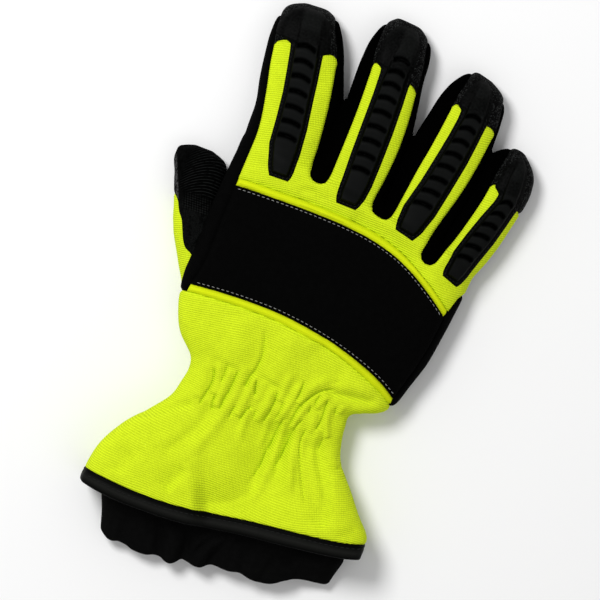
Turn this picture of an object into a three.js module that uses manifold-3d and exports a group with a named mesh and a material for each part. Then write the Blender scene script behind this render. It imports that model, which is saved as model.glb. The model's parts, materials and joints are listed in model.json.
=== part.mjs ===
// Extrication glove for the right hand, lying palm down on a surface, in millimetres.
// X runs across the hand to the little finger side, Y from the cuff to the fingertips, Z up.
// The hollow form is lofted: a hand and gauntlet, four fingers and a thumb, each a row of upright
// cross-sections. Its wall is then cut into the cloth panels that are sewn together on the glove.
import * as THREE from "three";
import { mergeVertices } from "three/addons/utils/BufferGeometryUtils.js";
import Module from "manifold-3d";

const wasm = await Module();
wasm.setup();

// Driving dimensions
const wall = 2.2; // outer cloth with its padding
const seam = 0.3; // gap between two panels where they are sewn
const bandExtra = 1.0; // the padded band stands this proud of the cloth
const weltExtra = 0.7;
const weltWidth = 4.0; // folded piping along both edges of the band
const guardFlange = 1.3; // moulded finger guard, thickness at its sewn edge
const guardSpine = 3.6; // thickness along its raised spine
const guardCap = 2.6; // thickness of the domed part over the fingertip
const grooveDepth = 1.8;
const grooveHalf = 1.0;
const linerWall = 1.6;
const bindingExtra = 0.5;
const sideSeamHeight = 8; // the back panels end this high above the surface
const crownPower = 2.3; // 2 is an ellipse, more is squarer
// Width of the curve from the flat palm up to the widest line
const corner = { hand: 14, index: 6.5, middle: 6.5, ring: 6.5, little: 5.5, thumb: 7 };
const centre = { x: 2.48, y: -3.29 }; // middle of the glove's outline in the pattern's own numbers
const tall = 60; // cutting prisms run up to here, past the glove
const deep = -5; // and start here, below the surface that it lies on
const wide = 300; // cutting regions reach this far from the pattern's origin

const table = (columns, rows) =>
  rows.map((values) => Object.fromEntries(columns.map((name, i) => [name, values[i]])));

// Sections of the forms: the left and right edge points, the height of the crown, the height of
// the widest line at each side, how far the middle bows towards the cuff, and the floor's height.
const columns = ["lx", "ly", "rx", "ry", "top", "midL", "midR", "bow", "low"];
const forms = {
  hand: table(columns, [
    [-49, 65, 72.5, 44.5, 14, 10, 9, 0, 5],
    [-51.5, 62, 74, 41, 20.5, 10, 9, 0, 0],
    [-53, 50, 74.4, 32, 22.5, 13, 9, 0, 0],
    [-53.6, 36, 73.4, 22, 24.5, 16, 10, 0, 0],
    [-54.2, 18, 71.8, 6, 25.5, 16.5, 10, 0, 0],
    [-54.4, 0, 69.6, -10, 25.5, 15, 10, 0, 0],
    [-54, -17, 66, -23, 25, 13, 10, 0, 0],
    [-51.2, -29, 62.5, -34, 24.5, 11, 10, 0, 0],
    [-45.6, -40, 57, -40.5, 24, 10, 10, 0, 0],
    [-36.8, -48.5, 44.8, -46.5, 23, 10, 10, 0, 0],
    [-35.3, -54, 44.6, -53, 22.5, 10, 10, 0, 0],
    [-36.4, -62, 46.3, -62, 23, 10, 10, 0, 0],
    [-38, -69, 49, -69, 24.5, 10.5, 10.5, 0, 0],
    [-46, -80, 58.4, -80, 27.5, 11, 11, 0, 0],
    [-55, -91, 67.6, -91, 30.5, 12, 12, 0, 0],
    [-61.2, -103, 73, -96.5, 33, 13, 13, 2.5, 0],
    [-63.8, -116.8, 74.6, -101, 34, 13, 13, 6.5, 0],
  ]),
  index: table(columns, [
    [-50, 42, -15.5, 46, 19.5, 9, 9, 0, 0],
    [-52.6, 63, -14.3, 66, 20.5, 9, 9, 0, 0],
    [-53.2, 76, -14.3, 80, 20.6, 9, 9, 0, 0],
    [-56, 88, -15, 93, 20.4, 9, 9, 0, 0],
    [-58, 100, -19.4, 104, 19.8, 8.7, 8.7, 0, 0],
    [-59.2, 111, -23.6, 114.5, 18.8, 8.3, 8.3, 0, 0],
    [-58.2, 120, -28.4, 122.8, 16.8, 7.8, 7.8, 0, 0],
    [-54.4, 126.2, -33, 127.6, 13, 7, 7, 0, 1.2],
    [-49, 128.9, -38, 129.6, 9, 6.5, 6.5, 0, 4],
  ]),
  middle: table(columns, [
    [-12, 42, 21, 42, 19.5, 9, 9, 0, 0],
    [-13.2, 62, 22, 61, 20.8, 9, 9, 0, 0],
    [-13.3, 77, 22, 76, 20.8, 9, 9, 0, 0],
    [-13.6, 91, 21.8, 90, 20.6, 9, 9, 0, 0],
    [-14, 104, 19.6, 104, 20, 8.7, 8.7, 0, 0],
    [-14.2, 116, 17.7, 115, 19, 8.3, 8.3, 0, 0],
    [-13, 126.5, 16.6, 125, 17.2, 7.8, 7.8, 0, 0],
    [-9.6, 134.6, 13.2, 133.4, 13.2, 7, 7, 0, 1.2],
    [-5, 138.9, 6.6, 138.4, 9, 6.5, 6.5, 0, 4],
  ]),
  ring: table(columns, [
    [24, 42, 53, 35.5, 19.5, 9, 9, 0, 0],
    [23, 60, 55.4, 54, 20.6, 9, 9, 0, 0],
    [23, 75, 58.4, 70, 20.6, 9, 9, 0, 0],
    [23.2, 89, 60.1, 85, 20.3, 9, 9, 0, 0],
    [25.8, 102.5, 60.2, 98.5, 19.8, 8.7, 8.7, 0, 0],
    [28, 113.5, 59.7, 109.5, 18.8, 8.3, 8.3, 0, 0],
    [31.8, 122, 57.9, 118.6, 16.6, 7.8, 7.8, 0, 0],
    [36, 126.9, 53.8, 123.9, 12.8, 7, 7, 0, 1.2],
    [39.8, 128.9, 48.4, 127, 9, 6.5, 6.5, 0, 4],
  ]),
  little: table(columns, [
    [55.6, 36, 72, 29, 17, 8.5, 8.5, 0, 0],
    [56.5, 52, 78.4, 46.5, 18, 8.5, 8.5, 0, 0],
    [59.4, 67, 82.2, 61.5, 18, 8.5, 8.5, 0, 0],
    [61.2, 79, 84.6, 75, 17.8, 8.3, 8.3, 0, 0],
    [61.6, 89, 85.1, 86, 16.8, 8, 8, 0, 0],
    [64.2, 96.4, 83, 93.2, 14.8, 7.5, 7.5, 0, 0.4],
    [67.8, 100.4, 78.9, 98, 11.6, 7, 7, 0, 1.6],
    [71, 101.9, 75.6, 101, 8.6, 6.3, 6.3, 0, 4],
  ]),
  thumb: table(columns, [
    [-48, -31, -24, -23, 13, 8, 8, 0, 0],
    [-55.4, -15.5, -31, -6, 16, 8, 8, 0, 0],
    [-60.4, -7.6, -37.5, 2, 17.5, 8, 8, 0, 0],
    [-67.2, 4, -45, 11.5, 18, 8, 8, 0, 0],
    [-72.2, 17, -49.6, 22.4, 18, 8, 8, 0, 0],
    [-76.8, 29, -52, 33, 17.6, 8, 8, 0, 0],
    [-80.1, 39.4, -54.4, 40.4, 16, 7.5, 7.5, 0, 0],
    [-78.4, 43.6, -58.4, 44.3, 12.4, 7, 7, 0, 1.2],
    [-73, 45.8, -64, 46.1, 9, 6.3, 6.3, 0, 4],
  ]),
};
const fingers = ["index", "middle", "ring", "little"];

// Long folds of the gauntlet and the wrist's gathers: a ridge or, below zero, a valley of cloth
// from one point to another, with its half width and its height.
const folds = table(["x0", "y0", "x1", "y1", "half", "height"], [
  [-26, -62, -54, -104, 8, 3.2],
  [-14, -60, -36, -112, 7, -2.6],
  [-4, -58, -16, -114, 7, 2.8],
  [6, -58, 4, -114, 7, -2.4],
  [15, -56, 22, -112, 7, 3.0],
  [25, -56, 44, -108, 8, -2.6],
  [34, -58, 60, -100, 8, 2.6],
  [-30, -30, -20, -58, 7, 1.8],
  [-5, -24, -4, -56, 7, -2.2],
  [24, -26, 10, -60, 7, 2.2],
  [48, -34, 24, -54, 7, -2.2],
]);

// Panel edges in plan
const bandTop = [
  [-56, 34.3], [-47, 35], [-30, 36], [-10, 36.7], [10, 36.4], [25, 34.8], [40, 30.6], [55, 22.8],
  [70, 13], [80, 5],
];
const bandFoot = [
  [-56, -17.6], [-50, -17], [-35, -15.3], [-20, -14.3], [-5, -14.2], [10, -15.5], [25, -18],
  [40, -22], [52, -26.5], [61.5, -31.8], [72, -39],
];
const bandLeft = -47.4; // the band, and the back above it, begin here
const bandRight = [[70.6, 30], [69.2, 14], [67.8, 0], [65.4, -14], [61.4, -31.8], [60, -40]];

// Outer edges of the bright cloth on each finger, which runs under the guard
const strips = {
  index: table(["y", "left", "right"], [
    [38, -47.4, -20], [50, -47.4, -16.4], [62, -47.4, -16.7], [70, -48.5, -17.4], [78, -50.2, -18.4],
    [86, -52, -19.6], [95, -54.3, -21.2], [104.5, -56, -23.2], [109.3, -52, -26],
  ]),
  middle: table(["y", "left", "right"], [
    [38, -8, 16.6], [51, -7.1, 16.7], [62, -7, 18.3], [74, -7, 19.2], [85, -7, 19.2],
    [96, -7.3, 18.5], [106.5, -7.9, 17.2], [113, -8.2, 13.5], [114.6, -6, 12],
  ]),
  ring: table(["y", "left", "right"], [
    [36, 27.4, 47.2], [47, 27.3, 48.4], [55, 28, 50.4], [65, 29, 53], [75, 30.3, 55.3],
    [85, 32, 57], [95, 33.2, 58.1], [104.6, 34.2, 59.1], [110.6, 35.2, 56],
  ]),
  little: table(["y", "left", "right"], [
    [30, 55.8, 90], [38.5, 56, 90], [46, 58, 90], [54, 60.4, 90], [63, 62.6, 90],
    [73.6, 64.9, 90], [81.4, 66.4, 75],
  ]),
};
// Plan of the back between the finger strips and the band: the feet of the black side panels
const backTop = [
  [-47.4, 50.8], [-7.1, 50.8], [16.8, 47.4], [27.4, 46.2], [47.3, 35.4], [55.8, 36.2], [66, 44],
  [90, 50],
];

// Cloth rolled over the fingertips
const tipRegions = {
  index: [
    [-56.3, 104.7], [-52, 109.6], [-26, 109.6], [-22.9, 104.8], [-28, 118], [-32, 125], [-33, 136],
    [-57, 136], [-57.6, 118],
  ],
  middle: [
    [-8.6, 113.2], [-6, 114.9], [12, 114.9], [13.9, 113], [17.5, 106.6], [15.4, 118], [14, 128],
    [11, 144], [-8, 144], [-9.4, 126],
  ],
  ring: [
    [34, 104.8], [35, 110.9], [56, 110.9], [59.5, 104.7], [58.7, 112], [57, 119], [54, 134],
    [39, 134], [37.2, 122], [35.4, 114],
  ],
  little: [[64.8, 74], [66.2, 81.7], [75, 81.7], [90, 73.8], [92, 110], [71.4, 108], [68, 94], [66.4, 86]],
};

// Moulded guards on the backs of the fingers: the shaft and the domed cap as [y, left, right],
// bottom to top, and where the grooves cross the shaft
const guards = {
  index: {
    shaft: [
      [46.8, -34.6, -26.2], [51, -36.8, -24.7], [60, -39.3, -24.6], [72, -40.4, -25.8],
      [85, -42.3, -27.9], [95, -44.3, -29.5], [106, -46.9, -31.6], [109.6, -48.2, -32],
    ],
    cap: [[110.6, -55.4, -28.6], [118, -56.4, -31], [124, -53.4, -34.4], [126.6, -49, -38.5]],
    grooves: [66.5, 73.5, 80.6, 88, 95.2, 102.2, 109],
  },
  middle: {
    shaft: [
      [46, 1.2, 9.7], [50, -0.6, 11.9], [58, -1.2, 13.3], [70, -1.8, 13.4],
      [85, -2.2, 13.2], [100, -2.6, 12.5], [112, -3.2, 11.5], [114.4, -4, 11.2],
    ],
    cap: [[115.6, -8, 10.9], [124, -8.2, 10.6], [131, -6.4, 9], [134.6, -3, 5.6]],
    grooves: [65.2, 72.3, 79.5, 86.6, 94, 101, 107.8, 114.2],
  },
  ring: {
    shaft: [
      [43.2, 33.2, 41.4], [47, 31.6, 43.6], [56, 31, 46.6], [70, 34.2, 49.3],
      [85, 36.8, 51.7], [95, 38.4, 52.7], [106, 39.9, 53.6], [110, 39.6, 53.4],
    ],
    cap: [[111.4, 36.6, 52.8], [118, 37.6, 51.8], [123, 39.6, 49.4], [125.6, 41.4, 46.8]],
    grooves: [61, 67.8, 74.6, 81.5, 88.2, 95, 101.8, 107.8],
  },
  little: {
    shaft: [
      [30.6, 62.2, 69.2], [35, 61, 71.2], [45, 61.6, 74.3], [55, 64.3, 77.4],
      [65, 67.4, 79.8], [75, 70.8, 81.8], [79, 71.6, 82.2],
    ],
    cap: [[81.4, 68.4, 82.4], [88, 68.4, 81.8], [94, 70, 79.8], [97.2, 72, 77.4]],
    grooves: [45, 51.2, 57.4, 63.5, 69.8, 76],
  },
};

// Thumb: bright cloth on its outer side, and the ridged patch over the rest of its back
const thumbBright = [
  [-75, 22], [-71.6, 18.4], [-68.4, 13.4], [-65, 9.8], [-62.8, 5], [-60.6, 0], [-58.4, -2.4],
  [-54.2, -4.5], [-52, -12], [-50, -24], [-70, -24],
];

// The liner's free edge hangs in scallops below the gauntlet
const linerEdge = [
  [-60, -136], [-50, -139], [-46, -142.4], [-43, -145.2], [-39, -146.2], [-35, -144.8],
  [-28, -146.3], [-22, -146], [-16, -144.2], [-9.4, -145.6], [-5.6, -143.6], [-4, -141.2],
  [2, -142.1], [7, -141], [10, -138.6], [19, -138.2], [25, -137.2], [32, -138.4], [40, -136],
  [46, -132.2], [51, -129.2], [58, -128.2], [66, -126.4], [80, -124],
];
const linerRows = table(columns, [
  [-48, -95, 59, -91, 25, 11, 11, 0, 2.6],
  [-52, -112, 65, -103, 26, 11, 11, 4, 2.6],
  [-53.6, -124, 67.6, -112, 24, 10, 10, 5, 2.6],
  [-50, -134, 67, -119, 18, 7, 7, 5, 0.3],
  [-42, -150, 63, -132, 13.5, 5, 5, 5, 0.2],
]);
const bindingRows = table(columns, [
  [-63.9, -117.7, 74.7, -101.9, 34, 13, 13, 6.5, 0],
  [-64.2, -122.6, 74.8, -109, 33.6, 13, 13, 6.5, 0],
]);

const mix = (a, b, t) => a + (b - a) * t;
const crownHeight = (s) => (1 - Math.min(1, Math.abs(s)) ** crownPower) ** (1 / crownPower);

// Height that the folds add to the cloth at a point in plan
function foldAt(x, y) {
  let rise = 0;
  for (const f of folds) {
    const along = new THREE.Vector2(f.x1 - f.x0, f.y1 - f.y0);
    const from = new THREE.Vector2(x - f.x0, y - f.y0);
    const t = from.dot(along) / along.lengthSq();
    const aside = from.cross(along) / along.length();
    const fade = Math.max(0, 1 - (2 * t - 1) ** 2);
    if (t > 0 && t < 1) rise += f.height * fade * Math.exp(-((aside / f.half) ** 2));
  }
  return rise;
}

// One cross-section as a ring of points, counter-clockwise seen from the cuff. grow moves its
// outline out, or in below zero, and keeps its foot on the surface where keepFloor is set.
function sectionRing(row, grow, { crownSteps, cornerSteps, folded, keepFloor, bowl }) {
  const left = new THREE.Vector2(row.lx, row.ly);
  const right = new THREE.Vector2(row.rx, row.ry);
  const half = left.distanceTo(right) / 2;
  const outward = (half + grow) / half;
  const share = Math.min(0.9, bowl / half);
  const ring = [];
  const add = (s, z) => {
    const p = left.clone().lerp(right, (s * outward + 1) / 2);
    ring.push(new THREE.Vector3(p.x, p.y - row.bow * (1 - s * s), z));
  };
  const low = row.low - (keepFloor ? 0 : grow);
  const mid = (s) => mix(row.midL, row.midR, (s + 1) / 2);
  for (let i = 0; i <= crownSteps; i++) {
    const a = (Math.PI * i) / crownSteps;
    const s = Math.sign(Math.cos(a)) * Math.abs(Math.cos(a)) ** (2 / crownPower);
    const p = left.clone().lerp(right, (s + 1) / 2);
    const fold = folded ? foldAt(p.x, p.y) * crownHeight(s) : 0;
    add(s, mix(mid(s), row.top + grow, crownHeight(s)) + fold);
  }
  for (const side of [-1, 1])
    for (let j = 0; j < cornerSteps; j++) {
      const b = ((Math.PI / 2) * (side < 0 ? j + 1 : cornerSteps - j)) / cornerSteps;
      add(side * (1 - share + share * Math.cos(b)), mix(mid(side), low, Math.sin(b)));
    }
  return ring;
}

// Joins rings of equal counts into one closed skin, capped at both ends, as a solid.
function loftSolid(rings) {
  const positions = [];
  const faces = [];
  const count = rings[0].length;
  rings.forEach((ring) => ring.forEach((p) => positions.push(p.x, p.y, p.z)));
  for (let r = 0; r + 1 < rings.length; r++)
    for (let i = 0; i < count; i++) {
      const a = r * count + i;
      const b = r * count + ((i + 1) % count);
      faces.push(a, b, a + count, b, b + count, a + count);
    }
  [0, rings.length - 1].forEach((r) => {
    const middle = rings[r].reduce((sum, p) => sum.add(p), new THREE.Vector3()).divideScalar(count);
    const hub = positions.length / 3;
    positions.push(middle.x, middle.y, middle.z);
    for (let i = 0; i < count; i++) {
      const a = r * count + i;
      const b = r * count + ((i + 1) % count);
      faces.push(...(r === 0 ? [hub, b, a] : [hub, a, b]));
    }
  });
  const geometry = new THREE.BufferGeometry();
  geometry.setAttribute("position", new THREE.Float32BufferAttribute(positions, 3));
  geometry.setIndex(faces);
  return solidOf(geometry);
}

// A closed three.js geometry as a solid, turned outward if its faces point in.
function solidOf(geometry) {
  const bare = geometry.clone();
  bare.deleteAttribute("normal");
  bare.deleteAttribute("uv");
  const merged = mergeVertices(bare, 1e-4);
  const build = (triVerts) =>
    new wasm.Manifold(
      new wasm.Mesh({ numProp: 3, vertProperties: merged.attributes.position.array, triVerts }),
    );
  const triVerts = new Uint32Array(merged.index.array);
  const made = build(triVerts);
  return made.volume() > 0 ? made : build(triVerts.reverse());
}

// An upright prism over a plan outline
function prism(outline, bottom = deep, top = tall) {
  const shape = new THREE.Shape(outline.map(([x, y]) => new THREE.Vector2(x, y)));
  const geometry = new THREE.ExtrudeGeometry(shape, { depth: top - bottom, bevelEnabled: false });
  return solidOf(geometry.translate(0, 0, bottom));
}

// The row at one end, moved along the form: inwards at a closed end, outwards at an open one.
function shifted(row, next, distance) {
  const step = new THREE.Vector2(next.lx + next.rx - row.lx - row.rx, next.ly + next.ry - row.ly - row.ry)
    .normalize()
    .multiplyScalar(distance);
  return { ...row, lx: row.lx + step.x, ly: row.ly + step.y, rx: row.rx + step.x, ry: row.ry + step.y };
}

const bodySteps = { crownSteps: 12, cornerSteps: 2, folded: true, bowl: corner.hand };
const limbSteps = { crownSteps: 8, cornerSteps: 2 };
const stepsOf = (name) => (name === "hand" ? bodySteps : { ...limbSteps, bowl: corner[name] });

// The outside of a form, grown by a clearance or a padding
function outside(name, grow = 0, keepFloor = true) {
  return loftSolid(forms[name].map((row) => sectionRing(row, grow, { ...stepsOf(name), keepFloor })));
}

// The hollow of a form. A finger's root and the gauntlet's mouth are open.
function hollow(name, thickness) {
  const rows = [...forms[name]];
  const last = rows.length - 1;
  const first = rows[0];
  if (name === "hand") {
    rows[0] = shifted(first, rows[1], thickness);
    rows[last] = shifted(rows[last], rows[last - 1], -20);
  } else {
    rows[0] = shifted(first, rows[1], -2);
    rows[last] = shifted(rows[last], rows[last - 1], thickness);
  }
  return loftSolid(rows.map((row) => sectionRing(row, -thickness, stepsOf(name))));
}

// Plan of the flat underside of a form
function soleOutline(rows, bowl) {
  const edge = (row, side) => {
    const half = Math.hypot(row.rx - row.lx, row.ry - row.ly) / 2;
    const s = side * (1 - bowl / half);
    const t = (s + 1) / 2;
    return [mix(row.lx, row.rx, t), mix(row.ly, row.ry, t) - row.bow * (1 - s * s)];
  };
  const flat = rows.filter((row) => row.low < seam);
  return flat.map((row) => edge(row, 1)).concat(flat.map((row) => edge(row, -1)).reverse());
}

// A plan outline moved out by a distance, each corner along its mitre
function grown(outline, distance) {
  const turn = THREE.ShapeUtils.isClockWise(outline.map(([x, y]) => ({ x, y }))) ? -1 : 1;
  const normal = (a, b) => new THREE.Vector2(b[1] - a[1], a[0] - b[0]).normalize();
  return outline.map((p, i) => {
    const before = normal(outline[(i + outline.length - 1) % outline.length], p);
    const after = normal(p, outline[(i + 1) % outline.length]);
    const mitre = before.clone().add(after).multiplyScalar((turn * distance) / (1 + before.dot(after)));
    return [p[0] + mitre.x, p[1] + mitre.y];
  });
}

const allOf = (solids) => solids.reduce((sum, s) => sum.add(s));
const between = (lower, upper) => lower.concat([...upper].reverse());
const raise = (line, by) => line.map(([x, y]) => [x, y + by]);
const smooth = (line, count) => {
  const curve = new THREE.SplineCurve(line.map(([x, y]) => new THREE.Vector2(x, y)));
  return curve.getPoints(count).map((p) => [p.x, p.y]);
};

// The biggest body of a cut piece, or the one whose middle lies nearest a plan point
const sliver = 20; // cubic millimetres: a body smaller than this is a scrap of the cut
function bodyNear(solid, x, y) {
  const far = (body) => {
    const { min, max } = body.boundingBox();
    return Math.hypot((min[0] + max[0]) / 2 - x, (min[1] + max[1]) / 2 - y);
  };
  const bodies = solid.decompose().filter((body) => body.volume() > sliver);
  return bodies.sort((a, b) => far(a) - far(b))[0];
}
const mainBody = (solid) => solid.decompose().sort((a, b) => b.volume() - a.volume())[0];

// Whole forms and their hollows
const handForms = ["hand", ...fingers];
const outer = allOf(handForms.map((name) => outside(name)));
const cavities = allOf(handForms.map((name) => hollow(name, wall)));
const thumbOuter = outside("thumb");
const thumbHollow = hollow("thumb", wall);
const shell = outer.subtract(cavities).subtract(thumbHollow);

// Flat undersides: the palm's and the gauntlet's meet at one row of the hand, at the wrist
const wristRow = -46.5;
const palmRows = forms.hand.filter((row) => row.ry >= wristRow);
const cuffRows = forms.hand.filter((row) => row.ry <= wristRow);
const littleRoot = [[50, 12], [60.5, 14], [66.5, 29], [70, 42], [62, 44], [58, 46], [50, 40]];
const slab = (outline, slack, height) => prism(grown(outline, slack), deep, height);
const sole = (slack, height) =>
  allOf([
    slab(littleRoot, slack, height),
    slab(soleOutline(palmRows, corner.hand), slack, height),
    ...fingers.map((name) => slab(soleOutline(forms[name], corner[name]), slack, height)),
  ]);
const cuffSole = (slack, height) => slab(soleOutline(cuffRows, corner.hand), slack, height);
const thumbFlat = soleOutline(forms.thumb.slice(1), corner.thumb);
const thumbSole = (slack, height) => slab(thumbFlat, slack, height);
const above = (height) => prism([[-wide, -wide], [wide, -wide], [wide, wide], [-wide, wide]], height);
const ground = above(0);
const palm = mainBody(sole(-seam, wall).subtract(cuffSole(0, tall)).intersect(ground));
const cuffPalm = cuffSole(-seam, wall).intersect(ground);
const thumbPalm = mainBody(
  thumbSole(-seam, wall).subtract(sole(0, tall)).subtract(outside("hand", seam)).intersect(ground),
);
const upper = shell.subtract(sole(0, wall + seam)).subtract(cuffSole(0, wall + seam));

// Plan regions of the back panels
const lineSteps = 14;
const topLine = smooth(bandTop, lineSteps);
const footLine = smooth(bandFoot, lineSteps);
const stripOutline = (rows) =>
  between(rows.map((row) => [row.left, row.y]), rows.map((row) => [row.right, row.y]));
const rightOf = (x) => prism([[x, -wide], [wide, -wide], [wide, wide], [x, wide]]);
const backOutline = between(raise(topLine, weltWidth), [[-56, 50.8], ...backTop]);
const beyondWelt = prism([
  ...raise(topLine, weltWidth + seam), [120, 5], [120, wide], [-120, wide], [-120, 38],
]);
const stripOutlines = fingers.map((name) => stripOutline(strips[name]));
const backRegion = allOf([backOutline, ...stripOutlines].map((outline) => prism(outline)))
  .intersect(beyondWelt)
  .intersect(rightOf(bandLeft));
const bandOutline = [
  ...smooth(bandRight, 8), [bandLeft - 3, -60], [bandLeft - 3, -10], [bandLeft, -10],
  [bandLeft, 60], [70, 60],
];
const bandEdge = prism(bandOutline);
const bandRegion = prism(between(raise(footLine, seam), topLine)).intersect(bandEdge);
const weltTopRegion = prism(between(raise(topLine, seam), raise(topLine, weltWidth))).intersect(bandEdge);
const weltFootRegion = prism(between(raise(footLine, -weltWidth), footLine)).intersect(bandEdge);
const belowWelt = (gap) =>
  prism([
    [-120, -200], [-120, -22], ...raise(footLine, -weltWidth - gap), [120, -66], [120, -200],
  ]);
const tipRegion = allOf(fingers.map((name) => prism(tipRegions[name])));

// A wall of the back that stands proud of the cloth around it
const proud = (extra) => outside("hand", extra).subtract(cavities);

const back = mainBody(upper.intersect(backRegion).intersect(above(sideSeamHeight)));
const band = mainBody(proud(bandExtra).intersect(bandRegion).intersect(above(sideSeamHeight)));
const weltTop = mainBody(proud(weltExtra).intersect(weltTopRegion).intersect(above(sideSeamHeight)));
const weltFoot = mainBody(proud(weltExtra).intersect(weltFootRegion).intersect(above(sideSeamHeight)));
const cuffBack = mainBody(upper.intersect(belowWelt(seam)));
const tips = Object.fromEntries(
  fingers.map((name) => [name, mainBody(upper.intersect(prism(tipRegions[name])))]),
);

// Black side panels: what is left of the wall once the back, the band and the tips are cut out
const backCut = allOf([backOutline, ...stripOutlines].map((outline) => prism(grown(outline, seam))))
  .intersect(rightOf(bandLeft - seam))
  .intersect(above(sideSeamHeight - seam));
const bandCut = prism(grown(bandOutline, seam))
  .intersect(above(sideSeamHeight - seam))
  .intersect(prism(between(raise(footLine, -weltWidth - seam), raise(topLine, weltWidth + seam))));
const cuffCut = belowWelt(0);
const tipCut = allOf(fingers.map((name) => prism(grown(tipRegions[name], seam))));
const rootCut = prism([[56, 26], [68, 34], [68, 34.4], [56, 26.4]], deep, sideSeamHeight);
const sideCuts = [backCut, bandCut, cuffCut, tipCut, rootCut];
const sides = sideCuts.reduce((rest, cut) => rest.subtract(cut), upper);
const radialSide = bodyNear(sides, -45, 50);
const gusset1 = bodyNear(sides, -14, 85);
const gusset2 = bodyNear(sides, 22, 85);
const gusset3 = bodyNear(sides, 59, 72);
const ulnarSide = bodyNear(sides, 74, 30);

// Thumb, sewn into the side of the hand
const thumbShell = thumbOuter
  .subtract(thumbHollow)
  .subtract(outside("hand", seam, false))
  .subtract(thumbSole(0, wall + seam));
const thumbSide = mainBody(thumbShell.intersect(prism(thumbBright)));
const thumbBack = mainBody(thumbShell.subtract(prism(grown(thumbBright, seam))));

// Binding round the gauntlet's mouth, and the knitted liner that hangs out of it
const ringLoft = (rows, grow, keepFloor) =>
  loftSolid(rows.map((row) => sectionRing(row, grow, { ...bodySteps, folded: false, keepFloor })));
const stretched = (rows, start, end) => {
  const last = rows.length - 1;
  return rows.map((row, i) => {
    if (i === 0) return shifted(row, rows[1], -start);
    return i === last ? shifted(row, rows[last - 1], -end) : row;
  });
};
const past = 5; // the hollow of a ring runs past both its ends by this much
const bindingHollow = ringLoft(stretched(bindingRows, past, past), -wall, false);
const binding = ringLoft(bindingRows, bindingExtra, true).subtract(bindingHollow);
const linerCut = prism([...linerEdge, [120, -80], [-120, -80]]);
const liner = mainBody(
  ringLoft(linerRows, 0, true)
    .subtract(ringLoft(stretched(linerRows, past, past), -linerWall, false))
    .intersect(linerCut),
);

// Height of the back's surface at a plan point, found by halving the stretch that it lies on
const halvings = 24;
function topAt(x, y) {
  let best = 0;
  for (const name of handForms) {
    const rows = forms[name];
    for (let i = 0; i + 1 < rows.length; i++) {
      const at = (t) =>
        Object.fromEntries(columns.map((name) => [name, mix(rows[i][name], rows[i + 1][name], t)]));
      const side = (t) => {
        const r = at(t);
        return (r.rx - r.lx) * (y - r.ly) - (r.ry - r.ly) * (x - r.lx);
      };
      if (side(0) * side(1) > 0) continue;
      let [a, b] = [0, 1];
      for (let k = 0; k < halvings; k++) {
        const t = (a + b) / 2;
        if (side(a) * side(t) <= 0) b = t;
        else a = t;
      }
      const r = at(a);
      const span = (r.rx - r.lx) ** 2 + (r.ry - r.ly) ** 2;
      const s = (2 * ((x - r.lx) * (r.rx - r.lx) + (y - r.ly) * (r.ry - r.ly))) / span - 1;
      if (Math.abs(s) > 1) continue;
      const mid = mix(r.midL, r.midR, (s + 1) / 2);
      best = Math.max(best, mix(mid, r.top, crownHeight(s)));
    }
  }
  return best;
}

// A finger guard: across it run a sewn flange, a slope and the spine, which the grooves notch.
function guardSolid({ shaft, cap, grooves }) {
  const across = [0, 0.16, 0.28, 0.72, 0.84, 1];
  const lift = [0, 0, 1, 1, 0, 0];
  const edges = [...shaft, ...cap];
  const edgeAt = (y, column) => {
    const k = Math.max(1, edges.findIndex((row) => row[0] >= y));
    const [a, b] = [edges[k - 1], edges[k]];
    return mix(a[column], b[column], (y - a[0]) / (b[0] - a[0]));
  };
  const stations = edges.map((row) => ({ y: row[0], notch: 0 }));
  for (const y of grooves) {
    const edge = 1.3 * grooveHalf;
    stations.push({ y: y - edge, notch: 0 }, { y, notch: 1 }, { y: y + edge, notch: 0 });
  }
  const capStart = cap[0][0];
  const rows = stations
    .filter((st) => !grooves.some((g) => st.notch === 0 && Math.abs(st.y - g) < 1.25 * grooveHalf))
    .filter((st) => st.y <= edges[edges.length - 1][0])
    .sort((a, b) => a.y - b.y);
  const rings = rows.map(({ y, notch }, i) => {
    const [left, right] = [edgeAt(y, 1), edgeAt(y, 2)];
    const end = i === 0 || i === rows.length - 1;
    const spine = (y >= capStart ? guardCap : guardSpine) - notch * grooveDepth;
    const upperSide = across.map((f, k) => {
      const x = mix(left, right, f);
      const rise = end ? guardFlange * 0.7 : guardFlange + lift[k] * (spine - guardFlange);
      return new THREE.Vector3(x, y, topAt(x, y) + rise);
    });
    const underside = [1, 0.5, 0].map((f) => {
      const x = mix(left, right, f);
      return new THREE.Vector3(x, y, topAt(x, y) - wall / 2);
    });
    return [...upperSide, ...underside];
  });
  return loftSolid(rings);
}
const skinClearance = allOf(handForms.map((name) => outside(name, seam)));
const guardBodies = Object.fromEntries(
  fingers.map((name) => [name, mainBody(guardSolid(guards[name]).subtract(skinClearance))]),
);

// Materials
const cloth = (color) => new THREE.MeshStandardMaterial({ color, roughness: 0.9, metalness: 0 });
const finishes = {
  bright: cloth(0xd2ea1e),
  black: cloth(0x0b0b0c),
  grip: new THREE.MeshStandardMaterial({ color: 0x141516, roughness: 0.7, metalness: 0 }),
  neoprene: cloth(0x070808),
  rubber: new THREE.MeshStandardMaterial({ color: 0x0d0e0f, roughness: 0.45, metalness: 0 }),
  binding: new THREE.MeshStandardMaterial({ color: 0x101112, roughness: 0.5, metalness: 0 }),
  knit: cloth(0x060606),
};

const glove = new THREE.Group();
glove.position.set(-centre.x, -centre.y, 0);

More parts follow.
